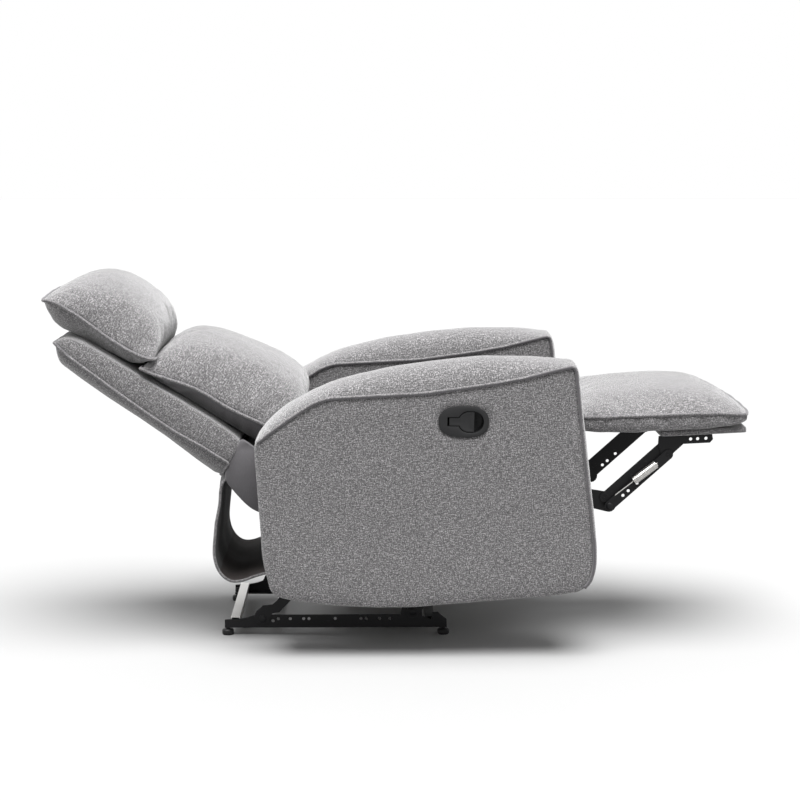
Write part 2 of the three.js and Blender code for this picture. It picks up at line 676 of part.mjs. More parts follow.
function makeHandle(seat) {
  const outer = -HALF_WIDTH - HANDLE_PROUD;
  const body = plate(handleOutline(HANDLE_LENGTH / 2, HANDLE_HEIGHT / 2), outer, outer + HANDLE_DEPTH);
  const cupOutline = linkOutline(
    [
      [NECK.front + CUP.halfHeight, 0, CUP.halfHeight],
      [CUP.front - CUP.halfHeight, 0, CUP.halfHeight],
    ],
    20,
  ).map(([x, z]) => handlePoint(x, z));
  const neckOutline = [
    [NECK.rear, -NECK.halfHeight],
    [NECK.front + 8, -NECK.halfHeight],
    [NECK.front + 8, NECK.halfHeight],
    [NECK.rear, NECK.halfHeight],
  ].map(([x, z]) => handlePoint(x, z));
  const floor = outer + HANDLE_DEPTH - HANDLE_WALL;
  const housing = cut(body, plate(cupOutline, outer - 5, floor), plate(neckOutline, outer - 5, floor));
  add(seat, "handle_housing", housing, BLACK_PLASTIC);

  // Lever: an upright barrel in the neck and a paddle that covers the rear of the cup.
  const faceY = outer + 1.2;
  const barrelRadius = 5;
  const axle = handlePoint(LEVER_AXIS_X, 0);
  const barrel = new THREE.CylinderGeometry(barrelRadius, barrelRadius, 2 * NECK.halfHeight - 1.4, 14)
    .rotateX(Math.PI / 2)
    .rotateY(radians(HANDLE_RAKE) * -1)
    .translate(axle[0], faceY + barrelRadius + 1, axle[1]);
  // Its front edge is cut straight, which leaves a scoop for the fingers.
  const paddleHalf = CUP.halfHeight - 1.5;
  const paddle = linkOutline(
    [
      [NECK.front + CUP.halfHeight, 0, paddleHalf],
      [CUP.front - CUP.halfHeight, 0, paddleHalf],
    ],
    20,
  )
    .map(([x, z]) => [Math.min(x, LEVER_FRONT), z])
    .filter(([x, z], i, all) => i === 0 || Math.hypot(x - all[i - 1][0], z - all[i - 1][1]) > 0.5)
    .filter(([x, z]) => x < LEVER_FRONT || Math.abs(z) > paddleHalf * 0.8)
    .map(([x, z]) => handlePoint(x, z));
  const stalk = [
    [LEVER_AXIS_X - 2, -NECK.halfHeight + 1.2],
    [NECK.front + 12, -NECK.halfHeight + 1.2],
    [NECK.front + 12, NECK.halfHeight - 1.2],
    [LEVER_AXIS_X - 2, NECK.halfHeight - 1.2],
  ].map(([x, z]) => handlePoint(x, z));
  const lever = join(
    plate(paddle, faceY, faceY + LEVER_THICK),
    plate(stalk, faceY, faceY + LEVER_THICK),
    barrel,
  );
  add(seat, "release_lever", lever, BLACK_PLASTIC);

  // The release cable runs down inside the arm, under its frame and up to the seat plate.
  const start = handlePoint(-10, -14);
  const behind = outer + HANDLE_DEPTH + GAP;
  const beside = -(ARM_BOARD_Y + WOOD + 4 * CABLE_RADIUS);
  const cable = tube(
    [
      [start[0], behind + 1, start[1]],
      [start[0], behind + 12.7, start[1] - 4],
      [start[0] - 6, beside - 4, start[1] - 60],
      [start[0] - 30, beside - 6, 160],
      [start[0] - 46, beside, 34],
      [start[0] - 52, beside + 36, -2],
      [start[0] - 58, beside + 86, -8],
      [start[0] - 62, -SEAT_PLATE_Y - 30, 6],
      [start[0] - 66, -SEAT_PLATE_Y - SEAT_PLATE - 8, 40],
      [start[0] - 70, -SEAT_PLATE_Y - SEAT_PLATE - 6, 70],
    ],
    CABLE_RADIUS,
    8,
    26,
  );
  add(seat, "release_cable", cable, BLACK_PLASTIC);
}

// ---------------------------------------------------------------- back
function makeBack(back) {
  // Outer upholstered tub: a rear wall, two side walls and a top wall.
  const shellSide = [
    [-111, 180],
    [-98, 160],
    [-80, 158],
    [0, 176],
    [6, 250],
    [3, 411],
    [-1, 543],
    [-8, 613],
    [-13, 642],
    [-24, 655],
    [-50, 661],
    [-72, 646],
    [-86, 630],
    [-93, 560],
    [-95, 400],
    [-98, 322],
  ];
  const block = plate(shellSide, -BACK_HALF_WIDTH, BACK_HALF_WIDTH);
  const innerHalf = BACK_HALF_WIDTH - SHELL_WALL;
  const hollow = box(-95 + SHELL_WALL, 60, -innerHalf, innerHalf, 100, 661 - 2 * SHELL_WALL);
  add(back, "back_shell", cut(block, hollow), FABRIC);

  // Wooden back frame inside the tub.
  const [frameRear, frameFront] = [-62, -6];
  const [frameBottom, frameTop] = [184, 600];
  for (const { name, side } of SIDES) {
    const [low, high] = mirrored(side, BACK_FRAME_Y, BACK_FRAME_Y + WOOD);
    add(back, `back_side_rail_${name}`, box(frameRear, frameFront, low, high, frameBottom, frameTop), TIMBER);
    // Steel strap that slides up the side rail and pivots on the seat plate.
    const strap = plate(
      linkOutline([
        [0, 0, 16],
        [-30, 60, 14],
      ]),
      ...mirrored(side, LONG_LINK_Y, LONG_LINK_Y + BAR_PLATE),
      [circle([0, 0], PIN_RADIUS + RUN)],
    );
    const upper = plate(
      linkOutline([
        [-30, 60, 14],
        [-34, 330, 12],
      ]),
      ...mirrored(side, LONG_LINK_Y, LONG_LINK_Y + BAR_PLATE),
    );
    add(back, `back_bracket_${name}`, join(strap, upper), BLACK_STEEL);
  }
  const reach = LONG_LINK_Y - GAP - 1;
  const railDepth = [frameRear, frameFront - 26];
  add(back, "back_top_rail", box(...railDepth, -reach, reach, frameTop - 60, frameTop), TIMBER);
  add(back, "back_bottom_rail", box(...railDepth, -reach, reach, frameBottom, frameBottom + 50), TIMBER);

  // Lower pad that closes the back below the tub, between the seat plates.
  const lowerHalf = SEAT_PLATE_Y - 5;
  const lowerPad = plate(
    [
      [-14, -14],
      [-4, 40],
      [-8, 150],
      [-97, 150],
      [-108, 128],
      [-124, 66],
      [-124, 34],
      [-104, -6],
      [-66, -22],
    ],
    -lowerHalf,
    lowerHalf,
  );
  add(back, "back_lower_pad", lowerPad, LINING);
  add(back, "lumbar_cushion", makeLumbar(), FABRIC);
  add(back, "head_pillow", makePillow(), FABRIC);
}

// A padded form: rings across the height, each from its rear face over the crown.
const cushionRing = (z, rear, seamX, front, half) => {
  const mid = seamX + (front - seamX) * 0.72;
  const back = (t) => seamX + (rear - seamX) * t;
  return [
    [seamX, -half, z],
    [mid, -half * 0.74, z],
    [front, -half * 0.3, z],
    [front, half * 0.3, z],
    [mid, half * 0.74, z],
    [seamX, half, z],
    [back(0.9), half * 0.8, z],
    [back(1), 0, z],
    [back(0.9), -half * 0.8, z],
  ];
};

function makeLumbar() {
  const half = BACK_HALF_WIDTH - 2;
  const rows = [
    [68, 12, 66, 112, 0.95],
    [78, 9, 66, 168, 0.98],
    [116, 8, 64, 190, 1],
    [156, 8, 62, 199, 1],
    [202, 8, 54, LUMBAR_FRONT, 1],
    [258, 8, 50, 198, 1],
    [308, 8, 49, 189, 1],
    [356, 8, 40, 175, 1],
    [394, 8, 31, 155, 0.99],
    [426, 8, 24, 126, 0.97],
    [440, 9, 22, 96, 0.94],
  ];
  return loft(rows.map(([z, rear, seam, front, wide]) => cushionRing(z, rear, seam, front, half * wide)));
}

function makePillow() {
  const half = BACK_HALF_WIDTH - 2;
  const rows = [
    [444, 22, 52, 100, 0.98],
    [458, 9, 46, 128, 0.98],
    [488, 8, 42, 148, 0.99],
    [528, 8, 40, 164, 0.97],
    [577, 7, 38, PILLOW_FRONT, 0.96],
    [625, 6, 40, 164, 0.96],
    [668, -8, 42, 143, 0.97],
    [704, -4, 43, 108, 0.99],
    [726, 8, 41, 76, 1],
    [738, 30, 38, 48, 0.99],
  ];
  return loft(rows.map(([z, rear, seam, front, wide]) => cushionRing(z, rear, seam, front, half * wide)));
}

// ---------------------------------------------------------------- rear skirt
// A fabric skirt that hangs from the back's tub and sweeps under to the seat.
const SKIRT_PATH = [
  [-178, 280],
  [-170, 226],
  [-178, 176],
  [-186, 130],
  [-190, 102],
  [-187, 74],
  [-178, 52],
  [-164, 36],
  [-146, 29],
  [-123, 31],
  [-104, 37],
  [-90, 41],
];
const SKIRT_THICK = 5;
const SKIRT_HALF_WIDTH = BACK_HALF_WIDTH - 12;

function makeSkirt(seat) {
  const normalAt = (i) => {
    const a = SKIRT_PATH[Math.max(0, i - 1)];
    const b = SKIRT_PATH[Math.min(SKIRT_PATH.length - 1, i + 1)];
    const length = Math.hypot(b[0] - a[0], b[1] - a[1]);
    return [-(b[1] - a[1]) / length, (b[0] - a[0]) / length];
  };
  const inner = SKIRT_PATH.map(([x, z], i) => {
    const [nx, nz] = normalAt(i);
    return [x + nx * SKIRT_THICK, z + nz * SKIRT_THICK];
  });
  const outline = [...SKIRT_PATH, ...inner.reverse()];
  add(seat, "rear_skirt", plate(outline, -SKIRT_HALF_WIDTH, SKIRT_HALF_WIDTH), LINING);
}

// ---------------------------------------------------------------- footrest
function makeFootrest(footrest) {
  // Pad: stations from the seat to the tip, each [x, bottom, seam, crown].
  const stations = [
    [22, 8, 39, 84],
    [60, 1, 38, 89],
    [118, -3, 37, 92],
    [183, -4, 36, PAD_CROWN],
    [247, -4, 36, PAD_CROWN],
    [296, -3, 35, 91],
    [PAD_LENGTH - 82, -1, 33, 81],
    [PAD_LENGTH - 50, 1, 31, 69],
    [PAD_LENGTH - 23, 6, 29, 51],
    [PAD_LENGTH, 12, 22, 30],
  ];
  const rings = stations.map(([x, bottom, seam, crown]) => [
    [x, -PAD_HALF_WIDTH, bottom],
    [x, -PAD_HALF_WIDTH, seam],
    [x, -PAD_HALF_WIDTH * 0.8, seam + 0.8 * (crown - seam)],
    [x, 0, crown],
    [x, PAD_HALF_WIDTH * 0.8, seam + 0.8 * (crown - seam)],
    [x, PAD_HALF_WIDTH, seam],
    [x, PAD_HALF_WIDTH, bottom],
  ]);
  add(footrest, "footrest_pad", loft(rings), FABRIC);
  const boardTop = -4 - GAP;
  const board = plate(
    [
      [BOARD_REAR + 4, boardTop - BOARD_THICK],
      [BOARD_FRONT - 6, boardTop - BOARD_THICK + 1],
      [BOARD_FRONT, boardTop - 6],
      [BOARD_FRONT - 4, boardTop],
      [BOARD_REAR, boardTop],
      [BOARD_REAR, boardTop - 10],
    ],
    -BOARD_HALF_WIDTH,
    BOARD_HALF_WIDTH,
  );
  add(footrest, "footrest_board", board, FABRIC);

  const bracketTop = boardTop - BOARD_THICK - GAP;
  const outline = [
    [205, bracketTop],
    [334, bracketTop],
    [336, bracketTop - 14],
    [328, bracketTop - 22],
    [264, bracketTop - 22],
    [LOWER_PIN[0] + 13, LOWER_PIN[1] + 2],
    [LOWER_PIN[0] + 8, LOWER_PIN[1] - 11],
    [LOWER_PIN[0] - 6, LOWER_PIN[1] - 12],
    [LOWER_PIN[0] - 15, LOWER_PIN[1] - 2],
    [203, bracketTop - 20],
  ];
  const holes = [282, 299, 319].map((x) => circle([x, bracketTop - 11], HOLE_RADIUS, 10));
  for (const { name, side } of SIDES) {
    const sheet = plate(outline, ...mirrored(side, BRACKET_Y, BRACKET_Y + BAR_PLATE), holes);
    const [low, high] = mirrored(side, BRACKET_Y - 26, BRACKET_Y + BAR_PLATE);
    const flange = box(236, 334, low, high, bracketTop - 3, bracketTop);
    const lower = pin(
      LOWER_PIN,
      RIVET_RADIUS,
      ...mirrored(side, BRACKET_Y + 1, LOWER_SHIN_Y + BAR_PLATE),
    );
    const upper = pin(
      UPPER_PIN,
      RIVET_RADIUS,
      ...mirrored(side, UPPER_SHIN_Y, BRACKET_Y + 1),
    );
    add(footrest, `footrest_bracket_${name}`, join(sheet, flange, lower, upper), BLACK_STEEL);
  }
}

// Long links, shin bars and springs, in the seat's frame with the footrest out.
function makeFootrestLinks(seat) {
  const lowerTop = footrestPoint(LOWER_PIN);
  const upperTop = footrestPoint(UPPER_PIN);
  const lowerKnee = sum(lowerTop, shin);
  const upperKnee = sum(upperTop, shin);
  const along = (t, off = 0) => [
    lowerKnee[0] - shin[0] * t + (shin[1] / SHIN_LENGTH) * off,
    lowerKnee[1] - shin[1] * t - (shin[0] / SHIN_LENGTH) * off,
  ];
  for (const { name, side } of SIDES) {
    const longPlate = plate(
      linkOutline([
        [...longLinkPivot, 15],
        [...lowerKnee, 17],
        [...upperKnee, 14],
      ]),
      ...mirrored(side, LONG_LINK_Y, LONG_LINK_Y + BAR_PLATE),
      [circle(longLinkPivot, RIVET_HOLE_RADIUS)],
    );
    const kneePins = [
      pin(lowerKnee, RIVET_RADIUS, ...mirrored(side, LONG_LINK_Y + 1, LOWER_SHIN_Y + BAR_PLATE)),
      pin(upperKnee, RIVET_RADIUS, ...mirrored(side, LONG_LINK_Y + 1, UPPER_SHIN_Y + BAR_PLATE)),
    ];
    add(seat, `footrest_long_link_${name}`, join(longPlate, ...kneePins), BLACK_STEEL);

    const lowerBar = plate(
      linkOutline([
        [...lowerKnee, BAR_RADIUS],
        [...lowerTop, BAR_RADIUS],
      ]),
      ...mirrored(side, LOWER_SHIN_Y, LOWER_SHIN_Y + BAR_PLATE),
      [
        circle(lowerKnee, RIVET_HOLE_RADIUS),
        circle(lowerTop, RIVET_HOLE_RADIUS),
        ...[0.22, 0.31, 0.46].map((t) => circle(along(t, -2), HOLE_RADIUS, 10)),
      ],
    );
    add(seat, `footrest_lower_bar_${name}`, lowerBar, BLACK_STEEL);

    const upperBar = plate(
      linkOutline([
        [...upperKnee, BAR_RADIUS],
        [...upperTop, BAR_RADIUS],
      ]),
      ...mirrored(side, UPPER_SHIN_Y, UPPER_SHIN_Y + BAR_PLATE),
      [circle(upperKnee, RIVET_HOLE_RADIUS), circle(upperTop, RIVET_HOLE_RADIUS)],
    );
    add(seat, `footrest_upper_bar_${name}`, upperBar, BLACK_STEEL);
    add(seat, `footrest_spring_${name}`, makeFootrestSpring(along, side), ZINC);
  }
  const reach = LONG_LINK_Y - GAP;
  const brace = [
    longLinkPivot[0] + (lowerKnee[0] - longLinkPivot[0]) * 0.55,
    longLinkPivot[1] + (lowerKnee[1] - longLinkPivot[1]) * 0.55,
  ];
  add(seat, "footrest_brace_tube", pin(brace, 9, -reach, reach, 14), BLACK_STEEL);
}

// A close-wound spring with one long straight hook, beside the lower bar.
function makeFootrestSpring(along, side) {
  const coilRadius = 8;
  const y = LOWER_SHIN_Y + BAR_PLATE + coilRadius + 0.5;
  const start = along(0.14, 12);
  const end = along(0.84, 12);
  const length = Math.hypot(end[0] - start[0], end[1] - start[1]);
  const coilStart = length - 75;
  const profile = [
    [0, 0],
    [1.6, 0],
    [1.6, coilStart],
    [coilRadius, coilStart + 2],
    [coilRadius, length - 2],
    [1.6, length],
    [0, length],
  ].map(([radius, height]) => new THREE.Vector2(radius, height));
  return new THREE.LatheGeometry(profile, 10)
    .rotateZ(-Math.PI / 2)
    .rotateY(-radians(SHIN_RISE))
    .translate(start[0], side * y, start[1]);
}

// ---------------------------------------------------------------- assembly
const chair = new THREE.Group();
makeBase(chair);
makeSwingLinks(chair);
const seat = leaningGroup(chair, seatOrigin, BODY_TILT);
makeSeat(seat);
for (const { name, side } of SIDES) makeArm(seat, name, side);
makeHandle(seat);
makeSkirt(seat);
makeFootrestLinks(seat);
makeFootrest(leaningGroup(seat, FOOTREST_PIVOT, -FOOTREST_PITCH));
makeBack(leaningGroup(seat, BACK_PIVOT, BACK_LEAN - BODY_TILT));

// The origin is on the floor, under the middle of the chair as it is shown.
chair.updateMatrixWorld(true);
const extent = new THREE.Box3().setFromObject(chair, true);
chair.position.x = -(extent.min.x + extent.max.x) / 2;
chair.updateMatrixWorld(true);

export default chair;
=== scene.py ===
"""A manual recliner armchair, dressed: sewn cloth, piping, springs, rivets and finishes round its frame."""

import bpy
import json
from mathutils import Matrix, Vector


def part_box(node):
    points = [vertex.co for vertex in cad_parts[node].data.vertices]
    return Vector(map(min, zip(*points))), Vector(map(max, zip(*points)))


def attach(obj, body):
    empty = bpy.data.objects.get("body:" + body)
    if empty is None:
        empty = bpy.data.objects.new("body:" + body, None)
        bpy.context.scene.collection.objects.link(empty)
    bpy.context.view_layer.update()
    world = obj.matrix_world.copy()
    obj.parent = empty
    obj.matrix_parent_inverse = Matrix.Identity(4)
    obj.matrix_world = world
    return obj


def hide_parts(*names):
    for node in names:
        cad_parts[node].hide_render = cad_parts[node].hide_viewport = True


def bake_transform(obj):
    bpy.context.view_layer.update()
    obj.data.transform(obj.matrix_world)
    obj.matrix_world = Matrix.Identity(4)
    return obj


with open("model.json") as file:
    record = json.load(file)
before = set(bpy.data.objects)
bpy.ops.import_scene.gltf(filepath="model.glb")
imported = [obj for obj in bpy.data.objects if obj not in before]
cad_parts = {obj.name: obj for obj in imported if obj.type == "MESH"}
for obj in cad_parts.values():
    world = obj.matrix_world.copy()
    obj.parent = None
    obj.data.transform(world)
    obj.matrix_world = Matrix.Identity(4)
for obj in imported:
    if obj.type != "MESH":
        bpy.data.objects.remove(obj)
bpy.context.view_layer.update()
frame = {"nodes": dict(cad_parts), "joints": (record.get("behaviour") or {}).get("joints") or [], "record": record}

import json
import math

import bmesh
import bpy
import numpy as np
from mathutils import Vector, noise
from mathutils.geometry import delaunay_2d_cdt

bl_info = {
    "name": "Recliner Armchair Upholstery",
    "version": (1, 0, 0),
    "blender": (4, 5, 0),
    "location": "View3D > Sidebar > Recliner",
    "description": "Sews the covers, piping and trim of a manual recliner armchair "
                   "round its steel and timber frame",
    "category": "Add Mesh",
}

MM = 0.001
SEAT_LEAN = 4.0  # degrees that each part leans back from level or upright, as shown
BACK_LEAN = 57.0
FOOTREST_RISE = 2.7
SIDES = (("right", -1), ("left", 1))
JOINTS = {joint["name"]: joint for joint in frame["joints"]}


# ------------------------------------------------------------------ places
class Place:
    """A part's own level frame in millimetres: x forwards, y to the sitter's left, z up."""

    def __init__(self, origin, lean):
        self.origin = Vector(origin)
        self.cos = math.cos(math.radians(lean))
        self.sin = math.sin(math.radians(lean))

    def __call__(self, x, y, z):
        return self.origin + MM * Vector((x * self.cos - z * self.sin, y, x * self.sin + z * self.cos))


def pivot(name):
    x, _, z = JOINTS[name]["pos_m"]
    return (x, 0, z)


seat = Place(pivot("seat_tilt"), SEAT_LEAN)
back = Place(pivot("back_recline"), BACK_LEAN)
footrest = Place(pivot("footrest_fold"), FOOTREST_RISE)

ARM_OUTER_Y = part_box("arm_outer_panel_left")[1].y / MM
ARM_INNER_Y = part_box("arm_inner_panel_left")[0].y / MM
BACK_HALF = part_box("back_shell")[1].y / MM
SKIRT_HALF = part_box("rear_skirt")[1].y / MM
LOWER_PAD_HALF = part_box("back_lower_pad")[1].y / MM
FOOTREST_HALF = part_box("footrest_pad")[1].y / MM
BOARD_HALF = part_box("footrest_board")[1].y / MM


# ------------------------------------------------------------------ settings
def colour_setting(name, description, default):
    return bpy.props.FloatVectorProperty(
        name=name, description=description, default=default, size=3, min=0, max=1, subtype="COLOR")


def number_setting(name, description, default, low, high, **kind):
    return bpy.props.FloatProperty(
        name=name, description=description, default=default, min=low, max=high, **kind)


def length_setting(name, description, default, low, high):
    """A length whose values are given here in millimetres."""
    return number_setting(name, description, default * MM, low * MM, high * MM, unit="LENGTH", precision=4)


class ClothSettings(bpy.types.PropertyGroup):
    """Sizes and colours of the sewn cloth"""

    pitch: length_setting("Thread pitch", "Distance between two threads of the weave", 1.7, 0.5, 6)
    piping: length_setting("Piping radius", "Radius of the covered cord along the seams", 3.4, 1, 8)
    puff: length_setting("Panel puff", "How far a flat panel swells away from its seams", 5, 0, 20)
    pressure: number_setting("Filling", "Pressure of the fibre inside a cushion's cover", 4.0, 0.0, 20.0)
    base: colour_setting("Cloth", "Middle shade of the heather yarn", (0.074, 0.0712, 0.073))
    light: colour_setting("Light yarn", "Lightest fleck of the heather yarn", (0.29, 0.281, 0.286))
    dark: colour_setting("Dark yarn", "Darkest fleck of the heather yarn", (0.016, 0.015, 0.016))
    # The lining colour also paints shade: the dark line behind each piping cord and the lumbar cushion's under
    # panel.
    lining: colour_setting("Lining", "Brushed lining cloth at the foot of the back", (0.055, 0.052, 0.056))


class MetalSettings(bpy.types.PropertyGroup):
    """Colours and sizes of the mechanism"""

    black: colour_setting("Black steel", "Powder coat on the links and rails", (0.007, 0.007, 0.0075))
    zinc: colour_setting("Zinc", "Bright plating on the cross tube and springs", (0.66, 0.65, 0.63))
    rivet: length_setting("Rivet head radius", "Radius of the domed heads on the link pins", 8.5, 3, 20)
    coil_wire: length_setting("Spring wire", "Diameter of the footrest springs' wire", 2.6, 1, 5)


class StageSettings(bpy.types.PropertyGroup):
    """Floor, light and camera"""

    fill: number_setting("Fill light", "Strength of the even light from all round", 1.0, 0.0, 5.0)
    key: number_setting("Overhead light", "Strength of the soft light from above", 10.0, 0.0, 20.0)
    softness: number_setting("Softness", "Angle that the light from above spreads over",
                             math.radians(50), 0.0, math.pi, subtype="ANGLE")
    floor: colour_setting("Floor", "Colour of the pale floor", (0.24, 0.24, 0.24))
    lens: number_setting("Lens", "Focal length of the camera", 90.5, 20, 300, unit="CAMERA")


class ReclinerSettings(bpy.types.PropertyGroup):
    """Everything that a user would change on the recliner"""

    cloth: bpy.props.PointerProperty(type=ClothSettings)
    metal: bpy.props.PointerProperty(type=MetalSettings)
    stage: bpy.props.PointerProperty(type=StageSettings)


# ------------------------------------------------------------------ shader tools
def wire(tree, kind, inputs=None, **settings):
    """A node with its settings, and its inputs set to values or linked to sockets."""
    made = tree.nodes.new(kind)
    for key, value in settings.items():
        setattr(made, key, value)
    for key, value in (inputs or {}).items():
        if isinstance(value, bpy.types.NodeSocket):
            tree.links.new(value, made.inputs[key])
        else:
            made.inputs[key].default_value = value
    return made


def maths(tree, operation, a, b=0.0, clamp=False):
    return wire(tree, "ShaderNodeMath", {0: a, 1: b}, operation=operation, use_clamp=clamp).outputs[0]


def times(tree, a, b, clamp=False):
    return maths(tree, "MULTIPLY", a, b, clamp)


def plus(tree, a, b):
    return maths(tree, "ADD", a, b)


def minus(tree, a, b):
    return maths(tree, "SUBTRACT", a, b)


def shade(tree, factor, a, b):
    """Mixes two colours."""
    return wire(tree, "ShaderNodeMix", {0: factor, 6: a, 7: b}, data_type="RGBA").outputs[2]


def blend_values(tree, factor, a, b):
    return wire(tree, "ShaderNodeMix", {0: factor, 2: a, 3: b}, data_type="FLOAT").outputs[0]


def scaled(tree, vector, factors):
    """A vector or a colour, multiplied part by part."""
    return wire(tree, "ShaderNodeVectorMath", {0: vector, 1: factors}, operation="MULTIPLY").outputs[0]


def on_plane(tree, x, y):
    return wire(tree, "ShaderNodeCombineXYZ", {0: x, 1: y, 2: 0.0}).outputs[0]


def object_place(tree):
    return tree.nodes.new("ShaderNodeTexCoord").outputs["Object"]


def noise_at(tree, vector, scale, detail=2.0, roughness=0.5):
    sockets = {"Vector": vector, "Scale": scale, "Detail": detail, "Roughness": roughness}
    return wire(tree, "ShaderNodeTexNoise", sockets).outputs[0]


def sharpen(tree, value, low, high):
    """Stretches a value so that low becomes 0 and high becomes 1."""
    return wire(tree, "ShaderNodeMapRange", {0: value, 1: low, 2: high, 3: 0.0, 4: 1.0}).outputs[0]


def new_group(name, **inputs):
    """A shader group that gives a colour, a roughness and a height."""
    group = bpy.data.node_groups.new(name, "ShaderNodeTree")
    for label, value in inputs.items():
        kind = "NodeSocketColor" if isinstance(value, tuple) else "NodeSocketFloat"
        group.interface.new_socket(label, in_out="INPUT", socket_type=kind).default_value = value
    for label, kind in (("Color", "Color"), ("Roughness", "Float"), ("Height", "Float")):
        group.interface.new_socket(label, in_out="OUTPUT", socket_type="NodeSocket" + kind)
    return group, group.nodes.new("NodeGroupInput").outputs, group.nodes.new("NodeGroupOutput").inputs


def give(tree, result, colour, roughness, height):
    for label, socket in (("Color", colour), ("Roughness", roughness), ("Height", height)):
        tree.links.new(socket, result[label])
    return tree


def build_weave_group():
    """Plain weave of slubby heather yarn, laid on each face along its own length and width."""
    tree, given, result = new_group(
        "Heather weave", Base=(0.2, 0.2, 0.2, 1), Light=(0.4, 0.4, 0.4, 1), Dark=(0.08, 0.08, 0.08, 1),
        Pitch=1.7 * MM, Lean=0.0, Fleck=1.0)
    coordinates = tree.nodes.new("ShaderNodeTexCoord")
    parts = []
    for output in ("Object", "Normal"):
        sockets = {"Vector": coordinates.outputs[output], "Angle": given["Lean"]}
        turned = wire(tree, "ShaderNodeVectorRotate", sockets, rotation_type="Y_AXIS").outputs[0]
        parts.append(wire(tree, "ShaderNodeSeparateXYZ", {0: turned}).outputs)
    place, facing = parts
    nx, ny, nz = (maths(tree, "ABSOLUTE", facing[i]) for i in range(3))
    faces_x = maths(tree, "GREATER_THAN", nx, maths(tree, "MAXIMUM", ny, nz))
    faces_z = maths(tree, "GREATER_THAN", nz, maths(tree, "MAXIMUM", nx, ny))
    along = blend_values(tree, faces_x, place[0], place[1])
    across = blend_values(tree, faces_z, place[2], place[1])
    flat = on_plane(tree, along, across)

    wander = times(tree, noise_at(tree, flat, 130.0, 1.0), 2.4)
    waves = []
    for way in (along, across):
        turn = plus(tree, maths(tree, "DIVIDE", way, given["Pitch"]), wander)
        waves.append(maths(tree, "SINE", times(tree, turn, math.pi)))
    warp, weft = (maths(tree, "ABSOLUTE", wave) for wave in waves)
    over = sharpen(tree, times(tree, *waves), -0.25, 0.25)
    thread = blend_values(tree, over, weft, warp)

    def streaks(scale_along, scale_across):
        stretched = on_plane(tree, times(tree, along, scale_along), times(tree, across, scale_across))
        return sharpen(tree, noise_at(tree, stretched, 1.0, 2.0, 0.6), 0.3, 0.7)

    level, upright = streaks(90.0, 400.0), streaks(400.0, 90.0)
    crossed = plus(tree, times(tree, level, 0.6), times(tree, upright, 0.4))
    yarn = blend_values(tree, 0.75, blend_values(tree, over, level, upright), crossed)
    specks = sharpen(tree, noise_at(tree, flat, 340.0, 3.0, 0.7), 0.36, 0.64)
    clouds = noise_at(tree, flat, 26.0, 2.0, 0.5)
    mixed = plus(tree, times(tree, yarn, 0.48), times(tree, specks, 0.44))
    mixed = plus(tree, mixed, times(tree, clouds, 0.08))
    spread = times(tree, minus(tree, mixed, 0.5), given["Fleck"])
    contrast = 3.8
    colour = shade(tree, times(tree, spread, contrast, clamp=True), given["Base"], given["Light"])
    colour = shade(tree, times(tree, spread, -contrast, clamp=True), colour, given["Dark"])
    # Painted shade: the colour darkens towards the dark yarn in the low spaces between the threads, where shade
    # falls.
    thread_gap_shade = minus(tree, 1.0, sharpen(tree, thread, 0.0, 0.7))
    colour = shade(tree, times(tree, thread_gap_shade, 0.42), colour, given["Dark"])
    return give(tree, result, colour, plus(tree, 0.84, times(tree, specks, 0.12)),
                plus(tree, thread, times(tree, mixed, 0.55)))


def build_brushed_group():
    """Short brushed fibres: the lining cloth and the felt-like dust cover."""
    tree, given, result = new_group("Brushed fibre", Base=(0.05, 0.05, 0.05, 1), Lift=0.4)
    place = object_place(tree)
    fibre = sharpen(tree, noise_at(tree, scaled(tree, place, (1.0, 1.0, 0.22)), 900.0, 3.0, 0.7), 0.3, 0.7)
    clouds = noise_at(tree, place, 34.0, 3.0, 0.55)
    both = plus(tree, times(tree, fibre, 0.5), times(tree, clouds, 0.9))
    lift = times(tree, minus(tree, both, 0.7), given["Lift"])
    bright, dim = (scaled(tree, given["Base"], (share, share, share)) for share in (1.9, 0.55))
    contrast = 1.6
    colour = shade(tree, times(tree, lift, contrast, clamp=True), given["Base"], bright)
    colour = shade(tree, times(tree, lift, -contrast, clamp=True), colour, dim)
    return give(tree, result, colour, plus(tree, 0.8, times(tree, clouds, 0.2)), fibre)


def build_wear_group():
    """Scuffs, fine grain and handling marks on hard parts."""
    tree, given, result = new_group(
        "Handled surface", Base=(0.1, 0.1, 0.1, 1), Worn=(0.3, 0.3, 0.3, 1),
        Grain=900.0, Wear=0.3, Smooth=0.35, Rough=0.55)
    place = object_place(tree)
    clouds = noise_at(tree, place, 22.0, 4.0, 0.6)
    drawn = scaled(tree, place, (60.0, 60.0, 700.0))
    scratches = sharpen(tree, noise_at(tree, drawn, 1.0, 2.0, 0.5), 0.66, 0.74)
    patches = sharpen(tree, clouds, 0.5, 0.7)
    worn = times(tree, times(tree, scratches, patches), given["Wear"], clamp=True)
    grain = noise_at(tree, place, given["Grain"], 2.0, 0.6)
    return give(tree, result, shade(tree, worn, given["Base"], given["Worn"]),
                blend_values(tree, clouds, given["Smooth"], given["Rough"]),
                minus(tree, grain, times(tree, scratches, 0.4)))


def new_material(name):
    material = bpy.data.materials.new(name)
    material.use_nodes = True
    return material.node_tree, material.node_tree.nodes["Principled BSDF"].inputs


def dress_shader(tree, shader, colour, roughness, height, bump, depth):
    """Links colour, roughness and a relief whose depth is given in millimetres."""
    tree.links.new(colour, shader["Base Color"])
    tree.links.new(roughness, shader["Roughness"])
    relief = wire(tree, "ShaderNodeBump", {"Height": height, "Strength": bump, "Distance": depth * MM})
    tree.links.new(relief.outputs["Normal"], shader["Normal"])


